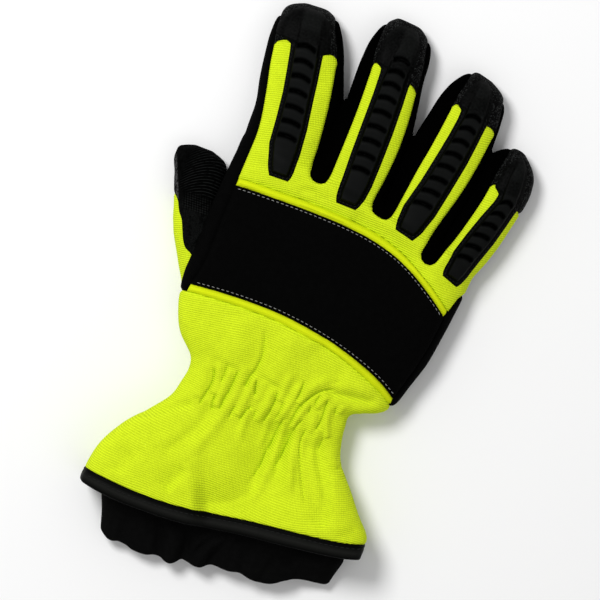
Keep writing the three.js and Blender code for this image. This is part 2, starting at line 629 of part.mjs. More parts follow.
function addPiece(name, solid, material) {
  const { vertProperties, triVerts, numProp } = solid.getMesh();
  const geometry = new THREE.BufferGeometry();
  const positions = [];
  for (let i = 0; i < vertProperties.length; i += numProp) positions.push(...vertProperties.slice(i, i + 3));
  geometry.setAttribute("position", new THREE.Float32BufferAttribute(positions, 3));
  geometry.setIndex([...triVerts]);
  const piece = new THREE.Mesh(geometry, material);
  piece.name = name;
  glove.add(piece);
}

addPiece("hand_back", back, finishes.bright);
addPiece("knuckle_band", band, finishes.neoprene);
addPiece("band_welt_top", weltTop, finishes.bright);
addPiece("band_welt_foot", weltFoot, finishes.bright);
addPiece("gauntlet_back", cuffBack, finishes.bright);
addPiece("gauntlet_palm", cuffPalm, finishes.grip);
addPiece("palm_panel", palm, finishes.grip);
addPiece("side_panel_thumb_edge", radialSide, finishes.black);
addPiece("gusset_index_middle", gusset1, finishes.black);
addPiece("gusset_middle_ring", gusset2, finishes.black);
addPiece("gusset_ring_little", gusset3, finishes.black);
addPiece("side_panel_little_edge", ulnarSide, finishes.black);
for (const name of fingers) addPiece(`fingertip_${name}`, tips[name], finishes.grip);
for (const name of fingers) addPiece(`guard_${name}`, guardBodies[name], finishes.rubber);
addPiece("thumb_side", thumbSide, finishes.bright);
addPiece("thumb_back", thumbBack, finishes.grip);
addPiece("thumb_palm", thumbPalm, finishes.grip);
addPiece("hem_binding", binding, finishes.binding);
addPiece("liner_cuff", liner, finishes.knit);

export default glove;
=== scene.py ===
import json
import math

import bmesh
import bpy
import numpy as np
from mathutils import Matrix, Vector, noise
from mathutils.bvhtree import BVHTree
from mathutils.kdtree import KDTree

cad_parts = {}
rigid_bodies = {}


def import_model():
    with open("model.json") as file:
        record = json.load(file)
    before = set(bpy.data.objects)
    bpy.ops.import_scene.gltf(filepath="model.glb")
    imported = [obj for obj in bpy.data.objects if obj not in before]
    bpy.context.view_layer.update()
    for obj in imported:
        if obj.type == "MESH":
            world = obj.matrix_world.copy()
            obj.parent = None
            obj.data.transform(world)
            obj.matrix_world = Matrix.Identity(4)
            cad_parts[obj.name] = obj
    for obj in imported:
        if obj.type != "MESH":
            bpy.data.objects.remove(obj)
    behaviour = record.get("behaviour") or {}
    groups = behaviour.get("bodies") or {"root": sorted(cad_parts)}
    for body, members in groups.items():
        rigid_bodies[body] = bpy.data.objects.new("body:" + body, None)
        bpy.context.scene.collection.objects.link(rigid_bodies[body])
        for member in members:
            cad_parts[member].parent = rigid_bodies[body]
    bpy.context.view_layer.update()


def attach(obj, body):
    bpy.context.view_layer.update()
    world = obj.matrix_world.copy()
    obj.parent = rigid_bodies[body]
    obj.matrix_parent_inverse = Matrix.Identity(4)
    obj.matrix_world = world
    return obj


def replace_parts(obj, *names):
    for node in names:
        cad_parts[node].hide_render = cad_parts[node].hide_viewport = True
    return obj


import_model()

# Lengths are in millimetres, in the pattern's own numbers: x across the hand to the little finger's
# side, y to the fingertips, z up. They become the frame's metres when a mesh is made.
patternMiddle = np.array([2.48, -3.29, 0.0])


def toFrame(points):
    return (np.asarray(points, float) - patternMiddle) * 0.001


def toPattern(points):
    return np.asarray(points, float) * 1000 + patternMiddle


# Small helpers for meshes

def selectOnly(*pieces):
    for other in bpy.data.objects:
        other.select_set(False)
    for piece in pieces:
        piece.select_set(True)
    bpy.context.view_layer.objects.active = pieces[0]


def newPiece(name, points, faces):
    mesh = bpy.data.meshes.new(name)
    mesh.from_pydata(toFrame(points).tolist(), [], [list(f) for f in faces])
    mesh.update()
    piece = bpy.data.objects.new(name, mesh)
    bpy.context.collection.objects.link(piece)
    return piece


def addModifier(piece, kind, **settings):
    modifier = piece.modifiers.new(kind.lower(), kind)
    for key, value in settings.items():
        setattr(modifier, key, value)
    selectOnly(piece)
    bpy.ops.object.modifier_apply(modifier=modifier.name)


def readPoints(piece):
    flat = np.empty(len(piece.data.vertices) * 3)
    piece.data.vertices.foreach_get("co", flat)
    return toPattern(flat.reshape(-1, 3))


def writePoints(piece, points):
    piece.data.vertices.foreach_set("co", toFrame(points).ravel())
    piece.data.update()


def readNormals(piece):
    flat = np.empty(len(piece.data.vertices) * 3)
    piece.data.vertex_normals.foreach_get("vector", flat)
    return flat.reshape(-1, 3)


def tidyMesh(piece, smoothAngle=40, turnOutward=True):
    bm = bmesh.new()
    bm.from_mesh(piece.data)
    bmesh.ops.remove_doubles(bm, verts=bm.verts, dist=1e-6)
    if turnOutward:
        bmesh.ops.recalc_face_normals(bm, faces=bm.faces)
    bm.to_mesh(piece.data)
    bm.free()
    selectOnly(piece)
    bpy.ops.object.shade_smooth_by_angle(angle=math.radians(smoothAngle))


def giveValues(piece, name, values):
    # one number for each point, for the material to read
    attribute = piece.data.attributes.new(name, "FLOAT", "POINT")
    attribute.data.foreach_set("value", np.asarray(values, np.float32))


def smoothStep(low, high, value):
    t = np.clip((value - low) / (high - low), 0, 1)
    return t * t * (3 - 2 * t)


def noiseAt(points, size, seed):
    return np.array([noise.noise(Vector((p[0] / size + seed, p[1] / size, p[2] / size))) for p in points])


def hermite(start, end, leaving, arriving, t, gap=1.0):
    # a point of the curve from start to end, with its directions there over a gap of that length
    return ((2 * t**3 - 3 * t**2 + 1) * start + (t**3 - 2 * t**2 + t) * gap * leaving
            + (3 * t**2 - 2 * t**3) * end + (t**3 - t**2) * gap * arriving)


def smoothLine(points, step=1.5):
    p = np.array(points, float)
    out = []
    for i in range(len(p) - 1):
        before, after = p[max(0, i - 1)], p[min(len(p) - 1, i + 2)]
        leaving, arriving = (p[i + 1] - before) / 2, (after - p[i]) / 2
        count = max(1, int(np.linalg.norm(p[i + 1] - p[i]) / step))
        out += [hermite(p[i], p[i + 1], leaving, arriving, k / count) for k in range(count)]
    out.append(p[-1])
    return np.array(out)


def lengthAlong(line):
    # how far each point of a line is from its start
    return np.concatenate([[0], np.cumsum(np.linalg.norm(np.diff(line, axis=0), axis=1))])


def insideOutline(outline, x, y):
    inside = np.zeros(len(x), bool)
    for (x0, y0), (x1, y1) in zip(outline, np.roll(outline, -1, axis=0)):
        if y0 == y1:
            continue
        crosses = (y0 > y) != (y1 > y)
        inside ^= crosses & (x < (x1 - x0) * (y - y0) / (y1 - y0) + x0)
    return inside


# The form of the glove: rows of upright cross-sections, as in the CAD. A row holds its left edge,
# its right edge, the crown's height, the height of the widest line at each side, how far the middle
# bows towards the cuff, and the floor's height.

form = {
    "rows": {
        "hand": [
            (-49, 65, 72.5, 44.5, 14, 10, 9, 0, 5), (-51.5, 62, 74, 41, 20.5, 10, 9, 0, 0),
            (-53, 50, 74.4, 32, 22.5, 13, 9, 0, 0), (-53.6, 36, 73.4, 22, 24.5, 16, 10, 0, 0),
            (-54.2, 18, 71.8, 6, 25.5, 16.5, 10, 0, 0), (-54.4, 0, 69.6, -10, 25.5, 15, 10, 0, 0),
            (-54, -17, 66, -23, 25, 13, 10, 0, 0), (-51.2, -29, 62.5, -34, 24.5, 11, 10, 0, 0),
            (-45.6, -40, 57, -40.5, 24, 10, 10, 0, 0), (-36.8, -48.5, 44.8, -46.5, 23, 10, 10, 0, 0),
            (-35.3, -54, 44.6, -53, 22.5, 10, 10, 0, 0), (-36.4, -62, 46.3, -62, 23, 10, 10, 0, 0),
            (-38, -69, 49, -69, 24.5, 10.5, 10.5, 0, 0), (-46, -80, 58.4, -80, 27.5, 11, 11, 0, 0),
            (-55, -91, 67.6, -91, 30.5, 12, 12, 0, 0), (-61.2, -103, 73, -96.5, 33, 13, 13, 2.5, 0),
            (-63.8, -116.8, 74.6, -101, 34, 13, 13, 6.5, 0),
            (-64.2, -126, 74.8, -110, 34, 13, 13, 6.5, 0),
        ],
        "index": [
            (-50, 42, -15.5, 46, 19.5, 9, 9, 0, 0), (-52.6, 63, -13.8, 66, 20.5, 9, 9, 0, 0),
            (-53.2, 76, -14.0, 80, 20.6, 9, 9, 0, 0), (-56, 88, -15.2, 93, 20.4, 9, 9, 0, 0),
            (-58, 100, -19.4, 104, 19.8, 8.7, 8.7, 0, 0),
            (-59.2, 111, -23.6, 114.5, 18.8, 8.3, 8.3, 0, 0),
            (-58.2, 120, -28.4, 122.8, 16.8, 7.8, 7.8, 0, 0),
            (-54.4, 126.2, -33, 127.6, 13, 7, 7, 0, 1.2),
            (-49, 128.9, -38, 129.6, 9, 6.5, 6.5, 0, 4),
        ],
        "middle": [
            (-12, 42, 21, 42, 19.5, 9, 9, 0, 0), (-13.9, 62, 22, 61, 20.8, 9, 9, 0, 0),
            (-13.9, 77, 22, 76, 20.8, 9, 9, 0, 0), (-13.4, 91, 21.8, 90, 20.6, 9, 9, 0, 0),
            (-14, 104, 19.6, 104, 20, 8.7, 8.7, 0, 0), (-14.2, 116, 17.7, 115, 19, 8.3, 8.3, 0, 0),
            (-13, 126.5, 16.6, 125, 17.2, 7.8, 7.8, 0, 0), (-9.6, 134.6, 13.2, 133.4, 13.2, 7, 7, 0, 1.2),
            (-5, 138.9, 6.6, 138.4, 9, 6.5, 6.5, 0, 4),
        ],
        "ring": [
            (24, 42, 53, 35.5, 19.5, 9, 9, 0, 0), (23.3, 60, 56.0, 54, 20.6, 9, 9, 0, 0),
            (23.3, 75, 59.0, 70, 20.6, 9, 9, 0, 0), (23.5, 89, 60.4, 85, 20.3, 9, 9, 0, 0),
            (25.8, 102.5, 60.2, 98.5, 19.8, 8.7, 8.7, 0, 0),
            (28, 113.5, 59.7, 109.5, 18.8, 8.3, 8.3, 0, 0),
            (31.8, 122, 57.9, 118.6, 16.6, 7.8, 7.8, 0, 0), (36, 126.9, 53.8, 123.9, 12.8, 7, 7, 0, 1.2),
            (39.8, 128.9, 48.4, 127, 9, 6.5, 6.5, 0, 4),
        ],
        "little": [
            (54.6, 36, 72, 29, 17, 8.5, 8.5, 0, 0), (55.6, 52, 78.4, 46.5, 18, 8.5, 8.5, 0, 0),
            (58.2, 67, 82.2, 61.5, 18, 8.5, 8.5, 0, 0), (59.8, 79, 84.6, 75, 17.8, 8.3, 8.3, 0, 0),
            (60.0, 89, 85.1, 86, 16.8, 8, 8, 0, 0), (61.6, 96.2, 83, 93.2, 14.8, 7.5, 7.5, 0, 0.4),
            (66.6, 100.4, 78.9, 98, 11.6, 7, 7, 0, 1.6), (70.6, 101.9, 75.6, 101, 8.6, 6.3, 6.3, 0, 4),
        ],
        "thumb": [
            (-48, -31, -24, -23, 13, 8, 8, 0, 0), (-55.4, -15.5, -31, -6, 16, 8, 8, 0, 0),
            (-60.4, -7.6, -37.5, 2, 17.5, 8, 8, 0, 0), (-67.2, 4, -45, 11.5, 18, 8, 8, 0, 0),
            (-72.2, 17, -49.6, 22.4, 18, 8, 8, 0, 0), (-76.8, 29, -52, 33, 17.6, 8, 8, 0, 0),
            (-80.1, 39.4, -54.4, 40.4, 16, 7.5, 7.5, 0, 0),
            (-78.4, 43.6, -58.4, 44.3, 12.4, 7, 7, 0, 1.2),
            (-73, 45.8, -64, 46.1, 9, 6.3, 6.3, 0, 4),
        ],
    },
    # width of the curve from the flat palm up to the widest line
    "corner": {"hand": 14, "index": 6.5, "middle": 6.5, "ring": 6.5, "little": 5.5, "thumb": 7},
    # how square the crown is: 2 is an ellipse, more is squarer
    "crown": {"index": 2.8, "middle": 2.8, "ring": 2.8, "little": 2.6, "thumb": 2.3},
    "handCrown": ([-88, -50, -20], [6.0, 4.4, 3.0]),  # at each y, squarer to the gauntlet's mouth
    "crownPoints": 161,
    "cornerPoints": 13,
    "rowStep": 1.3,  # mm between rows and between the points of a row
    "voxel": 0.85,  # mm
    "evening": 8,  # rounds of smoothing over the whole form
    "knuckleEvening": 26,  # more rounds, along the line where the fingers join the hand
    "knuckleLine": [(-60, 57), (-30, 56), (0, 54), (30, 51), (50, 46), (70, 38), (90, 30)],
    "knuckleHalf": 9,  # mm, half the width of the stretch along it
    "gathered": [(-32, -73, 12), (44, -38, 60)],  # corners of the box with a finer mesh
}
fingerNames = ["index", "middle", "ring", "little"]


def closeRows(rows, step):
    # one row about each step of length, on a smooth curve through the table's rows
    rows = np.array(rows, float)
    middle = (rows[:, 0:2] + rows[:, 2:4]) / 2
    along = lengthAlong(middle)
    tangent = np.gradient(rows, along, axis=0)
    count = int(along[-1] / step)
    out = []
    for value in np.linspace(0, along[-1], count + 1):
        i = min(len(rows) - 2, int(np.searchsorted(along, value, side="right")) - 1)
        gap = along[i + 1] - along[i]
        t = (value - along[i]) / gap
        out.append(hermite(rows[i], rows[i + 1], tangent[i], tangent[i + 1], t, gap))
    return np.array(out)


def sectionRing(row, corner, crown, count):
    # crown from right to left, then down the left side, along the floor and up the right side
    lx, ly, rx, ry, top, midL, midR, bow, low = row
    half = math.hypot(rx - lx, ry - ly) / 2
    share = min(0.9, corner / half)
    a = np.linspace(0, math.pi, form["crownPoints"])
    c = np.cos(a)
    s = np.sign(c) * np.abs(c) ** (2 / crown)
    lift = (1 - np.minimum(1, np.abs(s)) ** crown) ** (1 / crown)
    mid = midL + (midR - midL) * (s + 1) / 2
    b = np.linspace(0, math.pi / 2, form["cornerPoints"])[1:]
    left = (-(1 - share + share * np.cos(b)), midL + (low - midL) * np.sin(b))
    right = ((1 - share + share * np.cos(b[::-1])), midR + (low - midR) * np.sin(b[::-1]))
    s = np.concatenate([s, left[0], right[0]])
    z = np.concatenate([mid + (top - mid) * lift, left[1], right[1]])
    x = lx + (rx - lx) * (s + 1) / 2
    y = ly + (ry - ly) * (s + 1) / 2 - bow * (1 - s * s)
    ring = np.stack([x, y, z], axis=1)
    closed = np.vstack([ring, ring[:1]])
    along = lengthAlong(closed)
    even = np.linspace(0, along[-1], count, endpoint=False)
    return np.stack([np.interp(even, along, closed[:, k]) for k in range(3)], axis=1)


def loftPiece(name, rings, capped=True):
    count = len(rings[0])
    points = np.vstack(rings)
    faces = []
    for r in range(len(rings) - 1):
        for i in range(count):
            a, b = r * count + i, r * count + (i + 1) % count
            faces.append((a, b, b + count, a + count))
    if capped:
        points = np.vstack([points, rings[0].mean(axis=0), rings[-1].mean(axis=0)])
        first, last = len(points) - 2, len(points) - 1
        base = (len(rings) - 1) * count
        for i in range(count):
            j = (i + 1) % count
            faces.append((first, j, i))
            faces.append((last, base + i, base + j))
    return newPiece(name, points, faces)


def makeForm(name):
    rows = closeRows(form["rows"][name], form["rowStep"])
    width = max(np.hypot(rows[:, 2] - rows[:, 0], rows[:, 3] - rows[:, 1]))
    count = int((2 * width + 40) / form["rowStep"])
    rings = []
    for row in rows:
        crown = np.interp(row[1], *form["handCrown"]) if name == "hand" else form["crown"][name]
        rings.append(sectionRing(row, form["corner"][name], crown, count))
    piece = loftPiece(name + "Form", rings)
    tidyMesh(piece)
    return piece


handForms = [makeForm(name) for name in ["hand"] + fingerNames]
selectOnly(*handForms)
bpy.ops.object.join()
body = bpy.context.view_layer.objects.active
body.name = "gloveForm"
addModifier(body, "REMESH", mode="VOXEL", voxel_size=form["voxel"] * 0.001, use_smooth_shade=True)
addModifier(body, "SMOOTH", factor=0.5, iterations=form["evening"])
points, normals = readPoints(body), readNormals(body)
fromLine = points[:, 1] - np.interp(points[:, 0], *zip(*form["knuckleLine"]))
knuckle = np.exp(-(fromLine / form["knuckleHalf"]) ** 2) * (normals[:, 2] > 0)
group = body.vertex_groups.new(name="knuckles")
for i in np.nonzero(knuckle > 0.02)[0]:
    group.add([int(i)], float(knuckle[i]), "REPLACE")
addModifier(body, "SMOOTH", factor=0.5, iterations=form["knuckleEvening"], vertex_group="knuckles")
body.vertex_groups.clear()

# a finer mesh where the wrist is gathered
low, high = [toFrame(corner) for corner in form["gathered"]]
bm = bmesh.new()
bm.from_mesh(body.data)
inGathers = {v for v in bm.verts if all(a < c < b for a, c, b in zip(low, v.co, high))}
edges = [e for e in bm.edges if e.verts[0] in inGathers and e.verts[1] in inGathers]
bmesh.ops.subdivide_edges(bm, edges=edges, cuts=1, use_grid_fill=True)
bm.to_mesh(body.data)
bm.free()
print("form:", len(body.data.vertices), "points")

# Folds, gathers and small unevenness of the cloth

cloth = {
    # Points of the line, half width (or one to its left and one to its right), height (a valley is
    # below zero), and mm of fading at its start and at its end. A sixth value says how round its
    # top is: 2 where none is given, and less is sharper.
    "broad": [
        ([(14, -60), (14.8, -72), (15, -86), (14, -95), (9.5, -102.5), (2, -107.5), (-8, -112.5)],
         (15, 20), -5.2, 12, 9, 1.3),
        ([(17.5, -62), (18.5, -78), (18, -92), (16, -101)], 2.0, 0.8, 4, 8),
        ([(21.5, -62), (22, -76), (22.4, -88)], (1.6, 2.2), -0.8, 4, 8),
        ([(26.5, -62), (27.4, -76), (29, -92)], 3.2, 0.8, 4, 8),
        ([(36, -62), (41, -73), (47, -83), (50.5, -93), (52, -101)], (8, 2.4), -1.7, 6, 5),
        ([(-27, -69), (-33, -73), (-40, -77.5), (-49, -83.5)], (2.6, 2.0), -1.0, 3, 4),
        ([(-19, -66), (-20, -76), (-26, -88), (-32, -96)], (2.6, 3.4), -0.8, 3, 8),
        ([(-13, -72), (-16, -82), (-18.5, -92)], 3, 0.9, 5, 6),
        ([(-19, -99), (-20.5, -104), (-24, -112)], (5.5, 2.0), -1.4, 4, 3),
        ([(-43, -98), (-47, -106), (-47, -113)], (6, 4), -0.9, 4, 3),
        ([(46, -78), (54, -89), (63, -99)], 5, 0.8, 5, 5),
        ([(-20, -22), (-17, -34), (-18, -46)], 6, 0.9, 6, 4),
        ([(5, -20), (6, -34), (4, -46)], 6, 1.0, 6, 3),
        ([(18, -20), (26, -27), (36, -32)], (6, 5), -0.9, 6, 8),
        ([(-38, 39.8), (-20, 40.4), (0, 40.8), (20, 39.4), (40, 35.0), (56, 28)], (2.0, 2.6), -0.7, 6, 8),
        ([(10, 43), (24, 41), (38, 37), (48, 32)], 4.5, -0.7, 6, 6),
        ([(-19, 43), (-12, 45.5), (-5, 43)], 1.6, -0.4, 3, 3),
        ([(-20, 46.5), (-12, 48.3), (-4, 46)], 1.5, 0.3, 3, 3),
    ],
    "pleats": [
        ([(-27, -47), (-26.7, -56), (-26.3, -66)], 2.6, 1.3, 6, 2),
        ([(-22.3, -46), (-20.8, -52), (-19.6, -57), (-19.8, -61.5)], 2.0, 1.5, 5, 1.5),
        ([(-16.4, -47), (-16, -55), (-16.4, -61), (-16.2, -66.8)], 1.9, 1.7, 5, 1.3),
        ([(-10, -43), (-10, -50), (-9.8, -56), (-10.4, -62), (-12, -69), (-12.5, -75)], 2.3, 1.6, 5, 6),
        ([(-4.2, -46.5), (-4.2, -53), (-4.6, -60), (-5.3, -66.8)], 2.0, 1.7, 3, 1.3),
        ([(0.8, -46), (1.2, -52), (0.6, -57)], 2.0, 0.9, 4, 2),
        ([(-0.9, -61.5), (-1, -68), (0, -78)], 1.8, 1.2, 1.5, 8),
        ([(5.6, -48.5), (5.9, -55), (5.6, -60), (4.3, -65.3)], 1.9, 1.7, 4, 1.3),
        ([(11.5, -38), (10.8, -46), (10.5, -53)], 2.0, 1.5, 6, 1.2),
        ([(9.4, -61), (9.8, -67), (10.3, -76)], 1.6, 0.9, 1.5, 6),
        ([(17.5, -41), (16.3, -49), (15, -56), (13.8, -62.4)], 1.9, 1.7, 5, 1.2),
        ([(29.5, -34), (24.6, -38.8), (21.6, -44), (19.8, -50.8)], 2.1, 1.6, 6, 1.2),
        ([(17, -60), (16.9, -66), (17.3, -80), (15.5, -95)], 1.7, 1.4, 1.5, 14),
        ([(24.2, -48.5), (22.6, -53.5), (21.6, -58), (21, -62.4)], 1.7, 1.6, 3, 1.2),
        ([(33.2, -41), (30.4, -44), (29, -47), (28.6, -49.5)], 1.6, 1.4, 4, 1.2),
        ([(29.3, -51), (29.4, -56), (30, -62)], 1.7, 1.0, 2, 3),
        ([(24.2, -60.5), (24, -66), (25, -73), (28.5, -82), (32, -92)], 1.8, 1.5, 1.5, 12),
        ([(34.2, -45.5), (34.7, -51), (36, -56), (38.4, -60.7)], 1.7, 1.6, 4, 1.2),
        ([(40.2, -43.5), (39.4, -47.8)], 1.4, 1.2, 1.5, 1.2),
        ([(33.5, -58), (33.8, -65), (36, -72), (41, -80), (48, -92)], 1.9, 1.3, 2, 12),
        ([(35, -36.5), (42, -33), (52, -32)], 3, 0.9, 5, 5),
        ([(44.5, -42.4), (50, -43.4)], 1.8, 0.8, 1.5, 2),
    ],
    "valleys": [
        ([(-24, -49.5), (-22.6, -53), (-22.2, -57), (-22.8, -61), (-23.6, -65), (-24.1, -68.5)],
         1.0, -1.4, 3, 2),
        ([(-18.6, -45), (-18, -51), (-18.4, -55)], 1.0, -1.0, 4, 2),
        ([(-18.4, -61), (-18.6, -65), (-17.4, -68.2)], 0.9, -1.5, 2, 1.5),
        ([(-12.6, -46), (-12.8, -52), (-13.2, -58), (-14, -62), (-14.1, -67)], 1.1, -1.4, 4, 1.5),
        ([(-8, -24), (-5.6, -31), (-4.6, -37), (-5, -43), (-6.4, -48), (-6.8, -52.6)], 1.6, -1.7, 8, 1.5),
        ([(-7.7, -62.5), (-8.4, -66), (-8.6, -69)], 1.0, -1.1, 2, 2),
        ([(-3, -47.5), (-2.2, -51), (-0.9, -55)], 0.8, -1.6, 2, 2),
        ([(-0.6, -60.4), (-2, -62.2), (-2.8, -65), (-3.6, -68)], 0.9, -1.4, 1.5, 2),
        ([(2, -60.5), (2.6, -65)], 0.9, -0.9, 2, 2),
        ([(8.6, -48.5), (8.8, -54), (8.4, -59), (7.2, -64.2)], 1.0, -1.4, 4, 1.5),
        ([(12.9, -52.5), (13, -57), (12.2, -61.5)], 0.9, -1.2, 2, 2),
        ([(18.4, -39), (18.6, -44), (18.2, -49.5)], 1.0, -1.3, 5, 1.5),
        ([(16, -59.8), (15.3, -64), (15, -69), (14.2, -76), (13.6, -84), (12, -92)], 1.0, -1.5, 2, 12),
        ([(33.5, -38), (29, -40), (25.4, -43.5), (22.8, -47.4), (20.9, -52), (20, -57), (19.7, -62)],
         1.1, -1.6, 5, 3),
        ([(25.8, -49), (26, -53.5)], 0.9, -1.1, 2, 2),
        ([(24.6, -57), (23, -59.4), (22.4, -63), (22.1, -68), (21.6, -73), (20.4, -82)], 0.9, -1.4, 2, 8),
        ([(28.2, -42.5), (27.2, -46), (27.5, -49.5)], 0.8, -1.2, 2, 1.5),
        ([(28, -60), (27.3, -64), (28.3, -69), (31, -75), (35.5, -84), (41, -94)], 1.0, -1.2, 3, 10),
        ([(32, -43.5), (32.5, -48), (32.9, -53), (32, -59.5)], 0.9, -1.3, 3, 2),
        ([(36.9, -45.5), (38, -49)], 0.8, -1.0, 1.5, 1.5),
        ([(35.2, -56.8), (37, -61), (37.7, -66)], 0.8, -0.7, 2, 2),
        ([(30, -41.2), (40, -38.8), (54, -37)], 3.4, -2.2, 4, 5),
        ([(41.5, -68.6), (46, -72), (53, -71)], 1.6, -1.1, 3, 3),
        ([(31.3, -35), (34.2, -33.4)], 0.8, -1.0, 1, 1),
    ],
    "unevenness": [(17, 0.40), (6.5, 0.13)],  # size and height, mm
    "strength": {"broad": 1.55, "pleats": 0.90, "valleys": 1.0},
    "creaseWidth": 0.66,  # the valleys between the pleats are this much narrower than their rows say
    "onSides": 0.12,  # share of the folds that the upright sides take
    "fromFloor": (0.4, 4),  # the folds begin between these heights, mm
}
lowest = 0.02  # mm, no cloth is lower than this
above = 60  # mm, higher than the glove


def distanceToLine(line, x, y):
    # nearest distance to a smooth line, less than zero on its left side, and the mm from its start and
    # from its end to that point
    line = smoothLine(line, 2)
    lengths = np.linalg.norm(np.diff(line, axis=0), axis=1)
    before = lengthAlong(line)
    best = np.full(len(x), 1e9)
    where, across = np.zeros(len(x)), np.zeros(len(x))
    for i, ((x0, y0), (x1, y1)) in enumerate(zip(line[:-1], line[1:])):
        # past its ends the line runs on, so that a fold fades and isn't cut round
        low = -np.inf if i == 0 else 0
        high = np.inf if i == len(lengths) - 1 else 1
        t = np.clip(((x - x0) * (x1 - x0) + (y - y0) * (y1 - y0)) / max(1e-9, lengths[i] ** 2), low, high)
        dx, dy = x - x0 - t * (x1 - x0), y - y0 - t * (y1 - y0)
        d = np.hypot(dx, dy)
        near = d < best
        best = np.where(near, d, best)
        across = np.where(near, np.sign(dx) * d, across)
        where = np.where(near, before[i] + t * lengths[i], where)
    return across, where, before[-1] - where


def foldHeight(x, y, line, half, height, head, tail, power=2):
    across, fromStart, fromEnd = distanceToLine(line, x, y)
    halfLeft, halfRight = half if isinstance(half, tuple) else (half, half)
    share = np.where(across < 0, across / halfLeft, across / halfRight)
    rounding = 1 - 0.35 * np.minimum(1, np.abs(share) / 2) ** 2  # the ends of a pleat are round tongues
    fadeIn = smoothStep(-0.3 * head, 0.7 * head, fromStart * rounding)
    fadeOut = smoothStep(-0.3 * tail, 0.7 * tail, fromEnd * rounding)
    return height * (fadeIn * fadeOut) * np.exp(-np.abs(share) ** power)


points, normals = readPoints(body), readNormals(body)
x, y = points[:, 0], points[:, 1]
rise = np.zeros(len(points))
for kind, strength in cloth["strength"].items():
    for line, half, height, head, tail, *power in cloth[kind]:
        if kind == "valleys":
            half *= cloth["creaseWidth"]
        reach = 2.5 * np.max(half) + 2  # past this a fold is too low to count
        low, high = np.min(line, axis=0) - reach, np.max(line, axis=0) + reach
        near = np.nonzero((x > low[0]) & (x < high[0]) & (y > low[1]) & (y < high[1]))[0]
        rise[near] += strength * foldHeight(x[near], y[near], line, half, height, head, tail, *power)
for size, height in cloth["unevenness"]:
    rise += height * noiseAt(points, size, size)
upward = smoothStep(-0.1, 0.4, normals[:, 2])
share = cloth["onSides"] + (1 - cloth["onSides"]) * upward
points += normals * (rise * share * smoothStep(*cloth["fromFloor"], points[:, 2]))[:, None]
points[:, 2] = np.maximum(points[:, 2], lowest)
writePoints(body, points)
addModifier(body, "SMOOTH", factor=0.4, iterations=1)
print("cloth folded")

# Outlines of the panels in plan

topLine = smoothLine([(-62, 33.5), (-47.4, 35), (-30, 36), (-10, 36.7), (10, 36.4), (25, 34.8),
                      (40, 30.6), (55, 22.8), (70, 13), (82, 4)])
footLine = smoothLine([(-62, -18.6), (-50, -17), (-35, -15.3), (-20, -14.3), (-5, -14.2), (10, -15.5),
                       (25, -18), (40, -22), (52, -26.5), (61.5, -31.8), (74, -40)])
weltWidth = 4.0
bandLeft = smoothLine([(-47.4, 41), (-47.4, 15), (-47.2, 0), (-48.3, -10), (-50.2, -18), (-51, -24)])
bandRight = smoothLine([(70.2, 22), (69.3, 14), (68, 0), (65.6, -14), (61.6, -30), (60.6, -38)])
panel = {
    # outer edge of the bright cloth, up one side of a finger and down the other
    "indexLeft": [(-47.4, 39), (-47.4, 50), (-47.5, 62), (-48.5, 70), (-50.2, 78), (-52, 86),
                  (-54.3, 95), (-56, 104.4)],
    "indexTop": [(-56, 104.4), (-54.9, 106.6), (-52.4, 108.1), (-49, 108.9), (-40, 109.4), (-32, 109.6),
                 (-26.6, 110), (-24.6, 109.2), (-23.4, 107.4), (-23.2, 105)],
    "gap1": [(-23.2, 105), (-21.3, 95), (-19.6, 86), (-18.3, 77), (-17.2, 68), (-16.6, 60),
             (-16.4, 54.5), (-15.6, 52.2), (-13.9, 50.8), (-11.7, 50.4), (-9.6, 50.8), (-7.9, 52.2),
             (-7.2, 54.6), (-7, 62), (-7, 74), (-7, 85), (-7.3, 96), (-7.8, 106), (-8.2, 112)],
    "middleTop": [(-8.2, 112), (-8, 113.8), (-6.4, 114.8), (-3.4, 115), (4, 114), (11.5, 111.4),
                  (15.4, 109.8), (17, 108.2), (17.3, 106)],
    "gap2": [(17.3, 106), (18.5, 96), (19.2, 85), (19.2, 75), (18.4, 64), (17.2, 54.5), (17.1, 50.6),
             (18.2, 48), (20.6, 46.5), (23.4, 46.1), (25.8, 46.8), (27.1, 48.8), (27.7, 52), (29, 63),
             (30.3, 74), (32, 85), (33.2, 95), (34.3, 106)],
    "ringTop": [(34.3, 106), (34.4, 108.8), (35.6, 110.4), (38, 110.6), (46, 108.6), (53, 106.6),
                (57, 105.8), (58.8, 104.8), (59, 103)],
    "gap3": [(59, 103), (58.1, 94), (57, 85), (55.2, 74.5), (53, 65), (50.4, 55), (48.6, 47),
             (47.2, 40), (47, 37.4), (48.2, 35.1), (50.5, 33.9), (53.1, 34.1), (55, 35.8), (56.2, 39),
             (58, 46), (60.4, 54), (62.6, 63), (64.7, 73), (65.4, 78)],
    "littleTop": [(65.4, 78), (65.6, 80), (66.9, 81.6), (69.4, 81.8), (75, 79), (80, 75.8), (83, 74),
                  (90, 71.6)],
    "backRight": [(92, 71), (92, 33), (75, 28.6), (72.2, 24), (70.2, 17)],
}
tipSides = {  # the rest of a rolled fingertip's outline, outside the finger
    "index": [(-26.5, 114), (-30.5, 121), (-32.5, 126.5), (-33, 136), (-58.4, 136), (-58.6, 122),
              (-57.4, 112)],
    "middle": [(16.6, 112), (15.4, 121), (13.4, 129), (11, 144), (-8.4, 144), (-10, 130), (-9.6, 120)],
    "ring": [(58.8, 110), (57.6, 117), (54.6, 134), (38.6, 134), (37, 124), (35.2, 115)],
    "little": [(95, 71), (95, 110), (69.6, 108), (68, 97), (66.4, 88)],
}
tipOutlines = {n: smoothLine(panel[n + "Top"]).tolist() + tipSides[n] for n in fingerNames}
